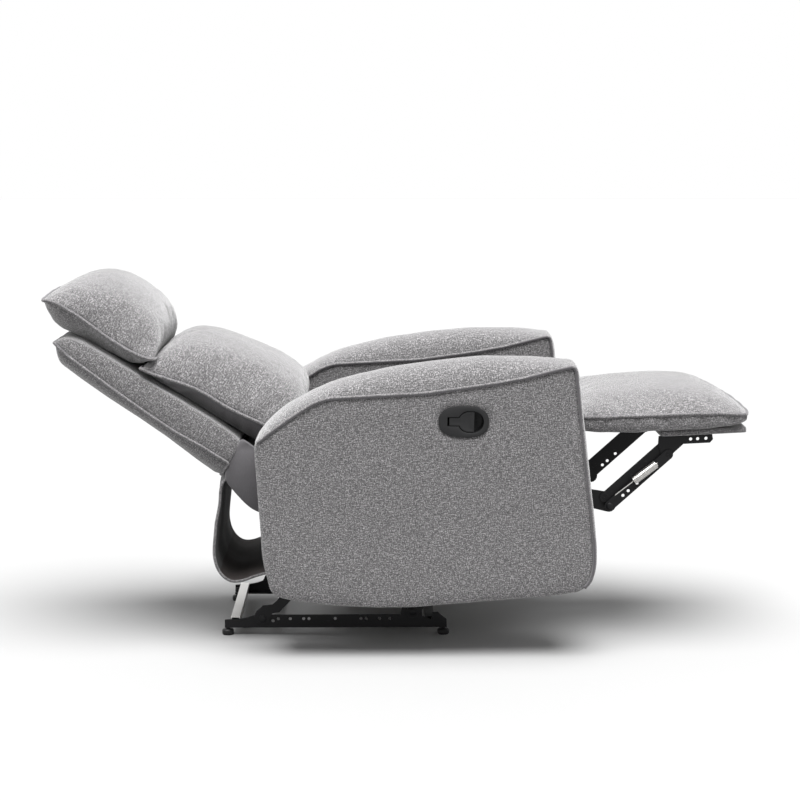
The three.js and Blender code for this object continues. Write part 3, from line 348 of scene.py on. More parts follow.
def finish_from_group(name, group, bump, depth, values, **constants):
    """A material whose colour, roughness and height come from a shared group."""
    tree, shader = new_material(name)
    source = wire(tree, "ShaderNodeGroup", values, node_tree=group).outputs
    dress_shader(tree, shader, source["Color"], source["Roughness"], source["Height"], bump, depth)
    for key, value in constants.items():
        shader[key.replace("_", " ")].default_value = value


def opaque(colour, share=1.0):
    return (colour[0] * share, colour[1] * share, colour[2] * share, 1.0)


def make_finishes(settings):
    cloth, metal = settings.cloth, settings.metal
    weave, brushed, handled = build_weave_group(), build_brushed_group(), build_wear_group()
    for name, lean in (("Heather cloth", SEAT_LEAN), ("Heather cloth back", BACK_LEAN)):
        finish_from_group(name, weave, 0.75, 0.7, {
            "Base": opaque(cloth.base), "Light": opaque(cloth.light), "Dark": opaque(cloth.dark),
            "Pitch": cloth.pitch, "Lean": math.radians(lean), "Fleck": 1.0},
            Sheen_Weight=0.5, Sheen_Roughness=0.5)
    # Painted highlight: the cords are the chair's own cloth, made 1.35 times lighter so that their rounded tops
    # read as lit.
    finish_from_group("Piping cloth", weave, 0.6, 0.5, {
        "Base": opaque(cloth.base, 1.35), "Light": opaque(cloth.light), "Dark": opaque(cloth.dark),
        "Pitch": cloth.pitch * 0.8, "Lean": math.radians(45), "Fleck": 0.8}, Sheen_Weight=0.25)
    # This lining material is real lining on the back's foot and the skirt, and also painted shade: the dark tubes
    # behind the piping and the lumbar cushion's under panel.
    finish_from_group("Lining cloth", brushed, 0.5, 0.4, {"Base": opaque(cloth.lining), "Lift": 0.55},
                      Sheen_Weight=0.3)
    finish_from_group("Dust cloth", brushed, 0.4, 0.3, {"Base": (0.006, 0.006, 0.0065, 1), "Lift": 0.3},
                      Sheen_Weight=0.05)
    finish_from_group("Inner lining", brushed, 0.4, 0.3, {"Base": (0.016, 0.011, 0.010, 1), "Lift": 0.3})
    finish_from_group("Black powder coat", handled, 0.12, 0.15, {
        "Base": opaque(metal.black), "Worn": (0.09, 0.09, 0.092, 1), "Grain": 1500.0, "Wear": 0.5,
        "Smooth": 0.36, "Rough": 0.55}, Specular_IOR_Level=0.16)
    finish_from_group("Zinc plate", handled, 0.1, 0.1, {
        "Base": opaque(metal.zinc), "Worn": (0.42, 0.41, 0.40, 1), "Grain": 380.0, "Wear": 0.6,
        "Smooth": 0.24, "Rough": 0.42}, Metallic=1.0)
    finish_from_group("Moulded black", handled, 0.35, 0.12, {
        "Base": (0.011, 0.011, 0.0115, 1), "Worn": (0.03, 0.03, 0.031, 1), "Grain": 2600.0, "Wear": 0.25,
        "Smooth": 0.38, "Rough": 0.52}, Specular_IOR_Level=0.22)
    make_timber()


def make_timber():
    """Sawn softwood with rings that run along the board."""
    tree, shader = new_material("Sawn timber")
    stretched = scaled(tree, object_place(tree), (6.0, 34.0, 60.0))
    waves = {"Vector": stretched, "Scale": 0.8, "Distortion": 5.0, "Detail": 3.0}
    rings = wire(tree, "ShaderNodeTexWave", waves, bands_direction="Z").outputs[1]
    pores = noise_at(tree, stretched, 14.0, 3.0, 0.7)
    colour = shade(tree, rings, (0.50, 0.33, 0.17, 1), (0.33, 0.19, 0.085, 1))
    colour = shade(tree, times(tree, pores, 0.5), colour, (0.42, 0.28, 0.15, 1))
    dress_shader(tree, shader, colour, plus(tree, 0.55, times(tree, pores, 0.3)), rings, 0.2, 0.3)


# ------------------------------------------------------------------ mesh tools
def new_piece(name, points, faces, materials, smooth=True, marks=None):
    """A mesh object in the row frame; marks holds a material index for each face."""
    mesh = bpy.data.meshes.new(name)
    mesh.from_pydata([tuple(p) for p in points], [], faces)
    mesh.validate()
    for material in materials:
        mesh.materials.append(bpy.data.materials[material])
    if marks is not None:
        mesh.polygons.foreach_set("material_index", marks)
    mesh.polygons.foreach_set("use_smooth", [smooth] * len(mesh.polygons))
    mesh.update()
    piece = bpy.data.objects.new(name, mesh)
    bpy.context.scene.collection.objects.link(piece)
    if len(faces) > 1:
        face_outwards(piece)
    return piece


def coordinates_of(piece):
    values = np.zeros(len(piece.data.vertices) * 3)
    piece.data.vertices.foreach_get("co", values)
    return values.reshape(-1, 3)


def place_points(piece, values):
    piece.data.vertices.foreach_set("co", values.ravel())
    piece.data.update()


def apply_modifiers(piece):
    graph = bpy.context.evaluated_depsgraph_get()
    mesh = bpy.data.meshes.new_from_object(piece.evaluated_get(graph))
    old = piece.data
    piece.modifiers.clear()
    piece.data = mesh
    mesh.name = piece.name
    bpy.data.meshes.remove(old)


def subdivide(piece, levels=1):
    modifier = piece.modifiers.new("Rounder", "SUBSURF")
    modifier.levels = modifier.render_levels = levels
    apply_modifiers(piece)


def dome(a, shoulder=2.6, sharpness=0.6):
    """1 in the middle and 0 at -1 and 1, with full shoulders."""
    return max(0.0, 1 - min(1.0, abs(a)) ** shoulder) ** sharpness


def along_line(line, at):
    """The second value where the first is at, on a line of pairs sorted by the first."""
    first, second = zip(*line)
    return float(np.interp(at, first, second))


def eased(count):
    """count + 1 values from -1 to 1, a little closer together at the ends."""
    even = [2 * k / count - 1 for k in range(count + 1)]
    return [0.55 * t + 0.45 * math.sin(math.pi / 2 * t) for t in even]


def grid_faces(rows, columns):
    """The faces of a grid of points, numbered row by row."""
    wide = columns + 1
    corners = (i * wide + j for i in range(rows) for j in range(columns))
    return [(a, a + 1, a + wide + 1, a + wide) for a in corners]


def grid_rim(rows, columns):
    """The row and column of each point on a grid's rim, walked once round."""
    return ([(0, j) for j in range(columns)] + [(i, columns) for i in range(rows)]
            + [(rows, j) for j in range(columns, 0, -1)] + [(i, 0) for i in range(rows, 0, -1)])


def sewn_form(front, rear, rows, columns, band=0, belly=0.0):
    """Two panels, each a function of s and t from -1 to 1, joined at their edges or by a band between them.

    It returns the points, the faces, the edge loop of each panel and the number of faces on the front."""
    across, up = eased(columns), eased(rows)
    points = [front(s, t) for t in up for s in across]
    faces = grid_faces(rows, columns)
    front_faces = len(faces)
    edge = grid_rim(rows, columns)
    front_loop = loop = [i * (columns + 1) + j for i, j in edge]
    rear_edge = [rear(across[j], up[i]) for i, j in edge]
    centre = sum((points[k] for k in front_loop), Vector()) / len(front_loop)
    count = len(edge)
    for step in range(1, band + 1):
        share = step / band
        swell = belly * MM * math.sin(math.pi * share)
        ring = list(range(len(points), len(points) + count))
        for k, target in zip(front_loop, rear_edge):
            outward = points[k] - centre
            points.append(points[k].lerp(target, share) + outward.normalized() * swell)
        faces += [(loop[(k + 1) % count], loop[k], ring[k], ring[(k + 1) % count]) for k in range(count)]
        loop = ring
    rear_index = dict(zip(edge, loop))
    for i in range(rows + 1):
        for j in range(columns + 1):
            if (i, j) not in rear_index:
                rear_index[i, j] = len(points)
                points.append(rear(across[j], up[i]))
    faces += [(rear_index[i, j], rear_index[i + 1, j], rear_index[i + 1, j + 1], rear_index[i, j + 1])
              for i in range(rows) for j in range(columns)]
    return points, faces, front_loop, loop, front_faces


def seam_points(piece, loop):
    return [piece.data.vertices[k].co.copy() for k in loop]


CLOTH_WEIGHTS = {
    "quality": 5, "mass": 0.3, "tension_stiffness": 12, "compression_stiffness": 12, "shear_stiffness": 6,
    "bending_stiffness": 0.6, "use_pressure": True, "vertex_group_mass": "seams"}
CLOTH_FRAMES = 20


def fill_with_fibre(piece, seams, pressure, cap, slack=0.03):
    """Blows the cover up as cloth, held at its seams, and keeps each point within cap of where it was cut."""
    before = coordinates_of(piece)
    held = piece.vertex_groups.new(name="seams")
    held.add(list(seams), 1.0, "REPLACE")
    cloth = piece.modifiers.new("Filling", "CLOTH")
    for key, value in CLOTH_WEIGHTS.items():
        setattr(cloth.settings, key, value)
    cloth.settings.uniform_pressure_force = pressure
    cloth.settings.effector_weights.gravity = 0
    cloth.settings.shrink_min = -slack
    cloth.collision_settings.use_collision = False
    scene = bpy.context.scene
    for step in range(1, CLOTH_FRAMES + 1):
        scene.frame_set(step)
    graph = bpy.context.evaluated_depsgraph_get()
    after = np.array([v.co for v in piece.evaluated_get(graph).data.vertices])
    piece.modifiers.remove(cloth)
    piece.vertex_groups.remove(held)
    moved = after - before
    length = np.linalg.norm(moved, axis=1, keepdims=True)
    place_points(piece, before + moved * np.minimum(1.0, cap * MM / np.maximum(length, 1e-9)))
    scene.frame_set(1)


def rumple(piece, size, height, seed=0.0):
    """Moves the surface a little in and out, as cloth over fibre."""
    values = coordinates_of(piece)
    normals = np.array([v.normal for v in piece.data.vertices])
    shift = Vector((seed, seed * 0.7, seed * 1.3))
    lift = [noise.fractal(Vector(p) / (size * MM) + shift, 0.6, 2.0, 3) for p in values]
    place_points(piece, values + normals * (np.array(lift)[:, None] * height * MM))


def tube(line, radius, closed=False, sides=8):
    """Points and faces of a round cord along a line of row-frame points."""
    count = len(line)
    points, faces = [], []
    normal = None
    for i, point in enumerate(line):
        ahead = line[(i + 1) % count] if closed else line[min(i + 1, count - 1)]
        behind = line[i - 1] if closed else line[max(i - 1, 0)]
        tangent = (ahead - behind).normalized()
        guess = normal if normal is not None else tangent.orthogonal()
        normal = (guess - tangent * guess.dot(tangent)).normalized()
        side = tangent.cross(normal)
        for k in range(sides):
            angle = 2 * math.pi * k / sides
            points.append(point + radius * (math.cos(angle) * normal + math.sin(angle) * side))
    for i in range(count if closed else count - 1):
        for k in range(sides):
            a, b = i * sides + k, i * sides + (k + 1) % sides
            c, d = ((i + 1) % count) * sides + (k + 1) % sides, ((i + 1) % count) * sides + k
            faces.append((a, b, c, d))
    if not closed:
        faces.append(tuple(range(sides - 1, -1, -1)))
        faces.append(tuple(range((count - 1) * sides, count * sides)))
    return points, faces


def evenly(line, step, closed=False):
    """The line again with points about step apart, in metres."""
    line = list(line) + ([line[0]] if closed else [])
    values = np.array([tuple(p) for p in line])
    lengths = np.concatenate([[0], np.cumsum(np.linalg.norm(np.diff(values, axis=0), axis=1))])
    count = max(2, round(lengths[-1] / step))
    at = np.linspace(0, lengths[-1], count + 1)
    result = [Vector(p) for p in np.stack([np.interp(at, lengths, values[:, k]) for k in range(3)], axis=1)]
    return result[:-1] if closed else result


def softened(line, rounds=2, closed=False):
    """Rounds the corners of a line; open ends stay where they are."""
    line = [Vector(p) for p in line]
    for _ in range(rounds):
        count = len(line)
        line = [p if not closed and i in (0, count - 1)
                else p * 0.5 + (line[i - 1] + line[(i + 1) % count]) * 0.25 for i, p in enumerate(line)]
    return line


def join_parts(parts):
    """Several (points, faces) in one."""
    points, faces = [], []
    for more_points, more_faces in parts:
        faces += [tuple(k + len(points) for k in face) for face in more_faces]
        points += list(more_points)
    return points, faces


CORD_STEP = 4 * MM
CORD_WOBBLE = 0.5 * MM
CORD_SEED = 7


def piping(name, lines, inside, settings, body, closed=True):
    """Covered cord along seam lines, unevenly fed as by hand, and a slightly larger dark tube behind it: painted
    shade in the hollow of the seam.
    """
    noise.seed_set(CORD_SEED)
    radius = settings.cloth.piping
    cords, marks = [], []
    for line in lines:
        path = softened(evenly(line, CORD_STEP, closed), 2, closed)
        path = [p + noise.noise_vector(p * 45) * CORD_WOBBLE for p in path]
        # Painted shade: a second, slightly larger tube in the dark lining material, set just behind the cord,
        # draws the seam's shadow as a dark line.
        seam_shade_path = raised(path, inside, -1.1 * MM)
        for mark, (place, size) in enumerate(((path, radius), (seam_shade_path, radius * 1.14))):
            cords.append(tube(place, size, closed))
            marks += [mark] * len(cords[-1][1])
    piece = new_piece(name, *join_parts(cords), ["Piping cloth", "Lining cloth"], marks=marks)
    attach(piece, body)


def raised(line, centre, amount):
    """A seam line moved a little away from a centre, so that its cord stands proud."""
    return [p + (p - centre).normalized() * amount for p in line]


def stacked(loops):
    """Points and faces through loops of equal length, each a list of row-frame points, closed at the last."""
    count = len(loops[0])
    points = [p for loop in loops for p in loop]
    faces = []
    for i in range(len(loops) - 1):
        for k in range(count):
            a, b = i * count + k, i * count + (k + 1) % count
            faces.append((a, b, b + count, a + count))
    faces.append(tuple(range((len(loops) - 1) * count, len(loops) * count)))
    return points, faces


def weld(piece):
    modifier = piece.modifiers.new("Weld", "WELD")
    modifier.merge_threshold = 0.05 * MM
    apply_modifiers(piece)


def face_outwards(piece):
    work = bmesh.new()
    work.from_mesh(piece.data)
    bmesh.ops.recalc_face_normals(work, faces=work.faces)
    work.to_mesh(piece.data)
    work.free()


def smooth_edges(piece, degrees):
    piece.data.polygons.foreach_set("use_smooth", [True] * len(piece.data.polygons))
    piece.data.set_sharp_from_angle(angle=math.radians(degrees))


# ------------------------------------------------------------------ cushions of the back
PILLOW_SEAM = [(446, 54), (470, 44), (515, 38), (567, 37), (606, 40), (651, 43), (703, 42), (726, 38),
               (740, 30)]
PILLOW_CROWN = [(446, 60), (452, 108), (458, 124), (488, 144), (528, 159), (577, 165), (625, 160), (659, 145),
                (696, 113), (719, 84), (734, 54), (740, 34)]
PILLOW_UNDER = [(446, 50), (456, 30), (473, 14), (530, 6), (600, 1), (650, -8), (672, -14), (700, -12),
                (722, -2), (735, 14), (740, 30)]
LUMBAR_SEAM = [(70, 64), (147, 63), (202, 54), (254, 50), (296, 50), (333, 47), (378, 35), (430, 22),
               (462, 18)]
LUMBAR_CROWN = [(70, 70), (83, 172), (116, 194), (156, 200), (202, 199), (258, 191), (308, 180), (356, 166),
                (394, 148), (424, 123), (441, 98), (455, 58), (462, 18)]
LUMBAR_UNDER = [(70, 60), (84, 14), (120, 10), (300, 10), (420, 10), (446, 13), (462, 18)]


EDGE_PULL = 9.0  # how far a cushion's sides pull in between its corners


def knife_edge_cushion(name, seam, crown, under, bow, settings, rear_material):
    """A pillow of two panels with corded edges, whose edges pull in between its corners."""
    low, high = seam[0][0], seam[-1][0]
    half = BACK_HALF - 4

    def panel(line, reach, shoulder, sharpness):
        def at(s, t):
            v = low + (high - low) * (t + 1) / 2
            edge_v = v + bow * (1 - s * s) * max(0.0, t) ** 5
            y = s * (half - EDGE_PULL * (1 - t ** 4) * abs(s) ** 3)
            level = along_line(seam, v)
            rise = reach * (along_line(line, v) - level)
            return back(level + rise * dome(s, shoulder, sharpness), y, edge_v)
        return at

    columns = 56
    rows = round(columns * (high - low) / (2 * half))
    points, faces, loop, _, front_count = sewn_form(
        panel(crown, 0.92, 3.0, 0.62), panel(under, 0.95, 4.0, 0.6), rows, columns)
    marks = [0] * front_count + [1] * (len(faces) - front_count)
    cushion = new_piece(name + "_cover", points, faces, ["Heather cloth back", rear_material], marks=marks)
    rumple(cushion, 70, 1.6, seed=half + low)
    fill_with_fibre(cushion, loop, settings.cloth.pressure, 10)
    seam_line = seam_points(cushion, loop)
    subdivide(cushion)
    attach(cushion, "back")
    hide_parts(name)
    centre = back(40, 0, (low + high) / 2)
    piping(name + "_piping", [raised(seam_line, centre, 2.2 * MM)], centre, settings, "back")
    return cushion


def make_head_pillow(settings):
    pillow = knife_edge_cushion("head_pillow", PILLOW_SEAM, PILLOW_CROWN, PILLOW_UNDER, 7.0, settings,
                                "Heather cloth back")


def make_lumbar_cushion(settings):
    # Painted shade: the under panel is sewn from the darker lining material, which stands in for the shade under
    # the cushion.
    cushion = knife_edge_cushion("lumbar_cushion", LUMBAR_SEAM, LUMBAR_CROWN, LUMBAR_UNDER, -6.0, settings,
                                 "Lining cloth")


# ------------------------------------------------------------------ tub of the back
SHELL_FRONT = [(168, -2), (176, 2), (198, 4), (253, 7), (333, 5), (411, 3), (474, 2), (544, 1), (613, -3),
               (642, -11), (655, -20)]
SHELL_SEAM = [(165, -60), (238, -60), (315, -65), (396, -63), (481, -58), (535, -55), (619, -49), (664, -40)]
SHELL_REAR = [(165, -106), (179, -111), (246, -107), (322, -98), (399, -95), (485, -94), (567, -92),
              (630, -85), (646, -72), (664, -42)]


def make_back_shell(settings):
    def spot(s, t, half, line):
        v = line[0][0] + (line[-1][0] - line[0][0]) * (t + 1) / 2
        return v, s * half * (1 - 0.012 * abs(s * t) ** 9)

    def front(s, t):
        v, y = spot(s, t, BACK_HALF - 6, SHELL_FRONT)
        return back(along_line(SHELL_FRONT, v) + 1.5 * (dome(s, 8, 0.8) - 1), y, v)

    def rear(s, t):
        v, y = spot(s, t, BACK_HALF, SHELL_SEAM)
        level = along_line(SHELL_SEAM, v)
        return back(level + (along_line(SHELL_REAR, v) - level) * dome(s, 7.0, 0.5), y, v)

    points, faces, _, loop, _ = sewn_form(front, rear, 40, 44, band=6, belly=4.0)
    shell = new_piece("back_shell_cover", points, faces, ["Heather cloth back"])
    rumple(shell, 110, 1.0, seed=3.0)
    seam_line = seam_points(shell, loop)
    subdivide(shell)
    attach(shell, "back")
    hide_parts("back_shell")
    centre = back(-50, 0, (SHELL_SEAM[0][0] + SHELL_SEAM[-1][0]) / 2)
    piping("back_shell_piping", [raised(seam_line, centre, 2.2 * MM)], centre, settings, "back")


LOWER_PAD_FOOT, LOWER_PAD_HEIGHT = -16, 168
LOWER_PAD_FRONT = [(-16, -12), (40, -5), (110, -8), (152, -12)]
LOWER_PAD_REAR = [(-16, -70), (8, -106), (40, -122), (66, -124), (128, -110), (152, -96)]


def make_lower_pad():
    """The brushed block that closes the back between the seat's steel plates."""
    def panel(line, rounding):
        def at(s, t):
            v = LOWER_PAD_FOOT + LOWER_PAD_HEIGHT * (t + 1) / 2
            return back(along_line(line, v) + rounding * (1 - dome(s, 6, 0.5)), s * (LOWER_PAD_HALF - 3), v)
        return at

    points, faces, _, _, _ = sewn_form(
        panel(LOWER_PAD_FRONT, 0), panel(LOWER_PAD_REAR, 8), 14, 30, band=6, belly=2.5)
    pad = new_piece("back_lower_cover", points, faces, ["Lining cloth"])
    rumple(pad, 45, 1.8, seed=8.0)
    subdivide(pad)
    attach(pad, "back")
    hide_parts("back_lower_pad")


LOWER_SIDE = [(8, 172), (-60, 166), (-95, 156), (-104, 140), (-110, 122), (-120, 88), (-125, 60), (-122, 35),
              (-108, 6), (-70, -6), (-20, 30), (4, 90)]
LOWER_SIDE_MIDDLE = (-60, 0, 90)
LOWER_SIDE_INNER, LOWER_SIDE_OUTER = 243, 253


def make_lower_sides():
    """The brushed gussets that close the foot of the back at each side."""
    outline = softened(evenly([Vector((u, 0, v)) for u, v in LOWER_SIDE], 9, True), 2, True)
    middle = Vector(LOWER_SIDE_MIDDLE)
    rolls = ((LOWER_SIDE_INNER, 2.0), (LOWER_SIDE_INNER + 2, 0.0),
             (LOWER_SIDE_OUTER - 3, 0.0), (LOWER_SIDE_OUTER, 3.0))
    parts = []
    for _, side in SIDES:
        points, faces = stacked([
            [back(*(p + (middle - p).normalized() * inset + Vector((0, side * y, 0)))) for p in outline]
            for y, inset in rolls])
        faces.append(tuple(range(len(outline) - 1, -1, -1)))
        parts.append((points, faces))
    sides = new_piece("back_lower_sides", *join_parts(parts), ["Lining cloth"])
    smooth_edges(sides, 50)
    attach(sides, "back")


# ------------------------------------------------------------------ arms
def outline_of(node, side_y):
    """The outline of a plate's flat face at y, in row-frame x and z, walked once round."""
    mesh = frame["nodes"][node].data
    key = [(round(v.co.x, 5), round(v.co.z, 5)) if abs(v.co.y - side_y) < 0.1 * MM else None
           for v in mesh.vertices]
    directed = set()
    for face in mesh.polygons:
        corners = [key[k] for k in face.vertices]
        if None not in corners:
            directed.update(zip(corners, corners[1:] + corners[:1]))
    follows = {a: b for a, b in directed if (b, a) not in directed}
    start = min(follows)
    walk = [start]
    while follows[walk[-1]] != start:
        walk.append(follows[walk[-1]])
    return walk


def crown_over(node, middle_y):
    """The height of a domed pad's ridge along x, as pairs."""
    points = [v.co for v in frame["nodes"][node].data.vertices if abs(v.co.y - middle_y) < 4 * MM]
    heights = {}
    for p in points:
        x = round(p.x, 4)
        heights[x] = max(heights.get(x, 0.0), p.z)
    return sorted(heights.items())


def triangulated(points, loops, tolerance):
    """Flat points, and the faces between the first loop of them and the second, if there is one."""
    edges, start = [], 0
    for loop in loops:
        edges += [(start + k, start + (k + 1) % len(loop)) for k in range(len(loop))]
        start += len(loop)
    flat, _, faces, _, _, _ = delaunay_2d_cdt(points, edges, [], 0, tolerance)
    spots = np.array([tuple(p) for p in flat])
    chosen = between(np.array([spots[list(face)].mean(0) for face in faces]), loops)
    return spots, [tuple(face) for face, keep in zip(faces, chosen) if keep]


def between(values, loops):
    """Whether each point lies inside the first loop and outside the others."""
    chosen = within(values, loops[0])
    for loop in loops[1:]:
        chosen &= ~within(values, loop)
    return chosen


def gap_to(values, loops):
    """How far each point is from the nearest edge, where the edge of a hole counts three times."""
    gaps = []
    for share_of_gap, a in zip((1, 3), loops):
        edge = np.roll(a, -1, 0) - a
        share = ((values[:, None] - a) * edge).sum(2) / np.maximum((edge * edge).sum(1), 1e-12)
        nearest = a + np.clip(share, 0, 1)[:, :, None] * edge
        gaps.append(np.linalg.norm(values[:, None] - nearest, axis=2).min(1) * share_of_gap)
    return np.min(gaps, axis=0)


PANEL_STEP = 13 * MM  # between the points inside a panel
PANEL_SHOULDER = 16 * MM  # how far from its edges a panel swells most


def puffed_panel(outline, y, outward, puff, hole=None):
    """A flat panel in the XZ plane, swollen away from its edges. It returns points and faces."""
    loops = [np.array(loop) for loop in (outline, hole) if loop]
    low, high = loops[0].min(0), loops[0].max(0)
    points = [Vector(p) for loop in loops for p in loop]
    fixed = len(points)
    row, z = 0, low[1] + PANEL_STEP / 2
    while z < high[1]:
        x = low[0] + PANEL_STEP * (0.5 if row % 2 else 1.0)
        while x < high[0]:
            points.append(Vector((x, z)))
            x += PANEL_STEP
        z += PANEL_STEP * 0.87
        row += 1
    values = np.array([tuple(p) for p in points])
    usable = between(values, loops) & (gap_to(values, loops) > PANEL_STEP * 0.35)
    kept = [p for k, p in enumerate(points) if k < fixed or usable[k]]
    spots, faces = triangulated(kept, loops, 1e-7)
    swell = puff * (1 - np.exp(-gap_to(spots, loops) / PANEL_SHOULDER))
    solid = [Vector((p[0], y + outward * s, p[1])) for p, s in zip(spots, swell)]
    return solid, [face[::-1] for face in faces] if outward > 0 else faces


def within(values, corners):
    """Whether each point lies inside a polygon."""
    a, b = corners, np.roll(corners, -1, 0)
    x, z = values[:, 0][:, None], values[:, 1][:, None]
    crosses = (a[:, 1] > z) != (b[:, 1] > z)
    rise = np.where(np.abs(b[:, 1] - a[:, 1]) < 1e-12, 1e-12, b[:, 1] - a[:, 1])
    at = a[:, 0] + (z - a[:, 1]) * (b[:, 0] - a[:, 0]) / rise
    return (crosses & (x < at)).sum(1) % 2 == 1


def resample_outline(walk, step):
    line = softened(evenly([Vector((x, 0, z)) for x, z in walk], step, True), 1, True)
    return [(p.x, p.z) for p in line]


def arm_outline():
    """The seam line of an arm's side and how far its band swells outwards at each point."""
    walk = outline_of("arm_outer_panel_left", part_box("arm_outer_panel_left")[1].y)
    outline = resample_outline(walk, 10 * MM)
    area = sum(a[0] * b[1] - b[0] * a[1] for a, b in zip(outline, outline[1:] + outline[:1]))
    if area < 0:
        outline.reverse()
    count = len(outline)
    middle = (ARM_OUTER_Y + ARM_INNER_Y) / 2 * MM
    ridge = crown_over("arm_top_pad_left", middle)
    normals, swell, lift = [], [], []
    for i in range(count):
        a, b = outline[i - 1], outline[(i + 1) % count]
        along = Vector((b[0] - a[0], b[1] - a[1])).normalized()
        normals.append(Vector((along.y, -along.x)))
        x, z = outline[i]
        upward = max(0.0, normals[-1].y)
        height = max(0.0, along_line(ridge, x) - z) if upward > 0.4 else 0.0
        lift.append(height * min(1.0, (upward - 0.4) * 4) if height else 0.0)
        forward = max(0.0, normals[-1].x)
        swell.append((9 * forward + 3) * MM if normals[-1].y < 0.6 else 0.0)
    kernel = np.array([1, 2, 3, 2, 1]) / 9
    smooth = [np.convolve(np.concatenate([v[-2:], v, v[:2]]), kernel, "valid") for v in (lift, swell)]
    return outline, normals, smooth[0], smooth[1]


ARM_COLUMNS = 18
INNER_PUFF = 0.8  # share of the puff on an arm's inner side
HOLE_INSET = 2.5  # how far the handle's rim covers the cloth round its hole
CORD_PROUD, CORD_ASIDE = 1.6 * MM, 3.0 * MM


def make_arms(settings):
    outline, normals, lift, swell = arm_outline()
    puff = settings.cloth.puff
    shown = arm_seam_indices(outline)
    for name, side in SIDES:
        seam_out = side * (ARM_OUTER_Y * MM - puff)
        seam_in = side * (ARM_INNER_Y * MM + puff * INNER_PUFF)
        hole = handle_oval(HOLE_INSET, 48) if side < 0 else []
        outer = puffed_panel(outline, seam_out, side, puff, [(p.x, p.z) for p in hole])
        inner = puffed_panel(outline, seam_in, -side, puff * INNER_PUFF)
        points = []
        for (x, z), normal, rise, bulge in zip(outline, normals, lift, swell):
            for j in range(ARM_COLUMNS + 1):
                t = 2 * j / ARM_COLUMNS - 1
                t = 0.6 * t + 0.4 * math.sin(math.pi / 2 * t)
                out = bulge * dome(t, 2.2, 0.7)
                points.append(Vector((x + normal.x * out, seam_out + (seam_in - seam_out) * (t + 1) / 2,
                                      z + normal.y * out + rise * dome(t, 2.4, 0.66))))
        faces = [tuple(k % len(points) for k in face)[::side]
                 for face in grid_faces(len(outline), ARM_COLUMNS)]
        parts = join_parts([(points, faces), outer, inner])
        cover = new_piece(f"arm_cover_{name}", *parts, ["Heather cloth"])
        weld(cover)
        face_outwards(cover)
        rumple(cover, 120, 1.1, seed=5.0 + side)
        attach(cover, "seat")
        nodes = [f"arm_{part}_{name}" for part in ("outer_panel", "inner_panel", "front_pad", "top_pad")]
        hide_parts(*nodes)
        lines = [[Vector((outline[k][0] + normals[k].x * CORD_PROUD, y + outward * CORD_ASIDE,
                          outline[k][1] + normals[k].y * CORD_PROUD)) for k in shown]
                 for y, outward in ((seam_out, side), (seam_in, -side))]
        middle = seat(340, side * (ARM_OUTER_Y + ARM_INNER_Y) / 2, 240)
        piping(f"arm_piping_{name}", lines, middle, settings, "seat", closed=False)


def arm_seam_indices(outline):
    """The corded stretch of an arm's edge, from the foot of its front over the top to the rear corner."""
    count = len(outline)
    start = max(range(count), key=lambda k: outline[k][0] - 1.2 * outline[k][1])
    end = min(range(count), key=lambda k: outline[k][0] - 0.9 * outline[k][1])
    return [(start + k) % count for k in range((end - start) % count + 1)]


# ------------------------------------------------------------------ seat cushion and footrest pad
PAD_COLUMNS = 50
SEAT_PAD = (  # the lines of its bottom, its corded seam and its crown
    [(84, 268), (690, 322), (706, 336)],
    [(84, 322), (400, 352), (660, 388), (706, 380)],
    [(84, 326), (110, 345), (250, 368), (480, 395), (620, 410), (680, 408), (706, 384)])
REST_PAD = (
    [(16, 6), (60, 1), (148, -4), (331, -3), (377, 1), (402, 6), (420, 14)],
    [(16, 39), (88, 37), (179, 36), (301, 35), (347, 33), (393, 29), (420, 26)],
    [(16, 74), (50, 82), (118, 86), (183, 89), (247, 89), (296, 85), (343, 76), (375, 64), (402, 48),
     (415, 36), (420, 28)])


def boxed_pad(name, place, lines, half, rows, corner, bow, rumples, settings, cap):
    """A filled pad along x: a crowned top, an upright band under its corded edge and a flat bottom.

    It returns the pad and the points of its seam."""
    bottom_line, seam_line, crown_line = lines
    rear_x, front_x = seam_line[0][0], seam_line[-1][0]

    def spot(s, t):
        round_off = 1 - corner * abs(s * t) ** 7
        x = (rear_x + front_x) / 2 + (front_x - rear_x) / 2 * t * round_off
        x += bow * (1 - s * s) * max(0.0, t) ** 6
        return x, s * half * round_off

    def top(s, t):
        x, y = spot(s, t)
        level = along_line(seam_line, x)
        return place(x, y, level + (along_line(crown_line, x) - level) * dome(s, 2.8, 0.62))

    def bottom(s, t):
        x, y = spot(s, t)
        return place(x, y * 0.985, along_line(bottom_line, x))

    points, faces, loop, _, _ = sewn_form(top, bottom, rows, PAD_COLUMNS, band=5, belly=3.0)
    pad = new_piece(name, points, faces, ["Heather cloth"])
    rumple(pad, *rumples)
    underside = list(range(len(points)))[-(PAD_COLUMNS - 1) * (rows - 1):]
    fill_with_fibre(pad, list(loop) + underside, settings.cloth.pressure, cap, slack=0.02)
    seam = seam_points(pad, loop)
    subdivide(pad)
    return pad, seam


def make_seat_cushion(settings):
    cushion, seam = boxed_pad("seat_cushion_cover", seat, SEAT_PAD, ARM_INNER_Y - 5, 56, 0.02, 0.0,
                              (90, 1.8, 11.0), settings, 14)
    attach(cushion, "seat")
    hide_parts("seat_cushion")
    centre = seat(390, 0, 330)
    piping("seat_cushion_piping", [raised(seam, centre, 0.5 * MM)], centre, settings, "seat")


FRONT_COVER_ROLL = ((1.0, 2.0), (1.6, 0.6), (2.6, 0.0), (3.8, 1.4), (4.4, 6.0))  # how far forwards, and inset
FRONT_COVER_ABOVE = 15
FRONT_COVER_STEPS = 12


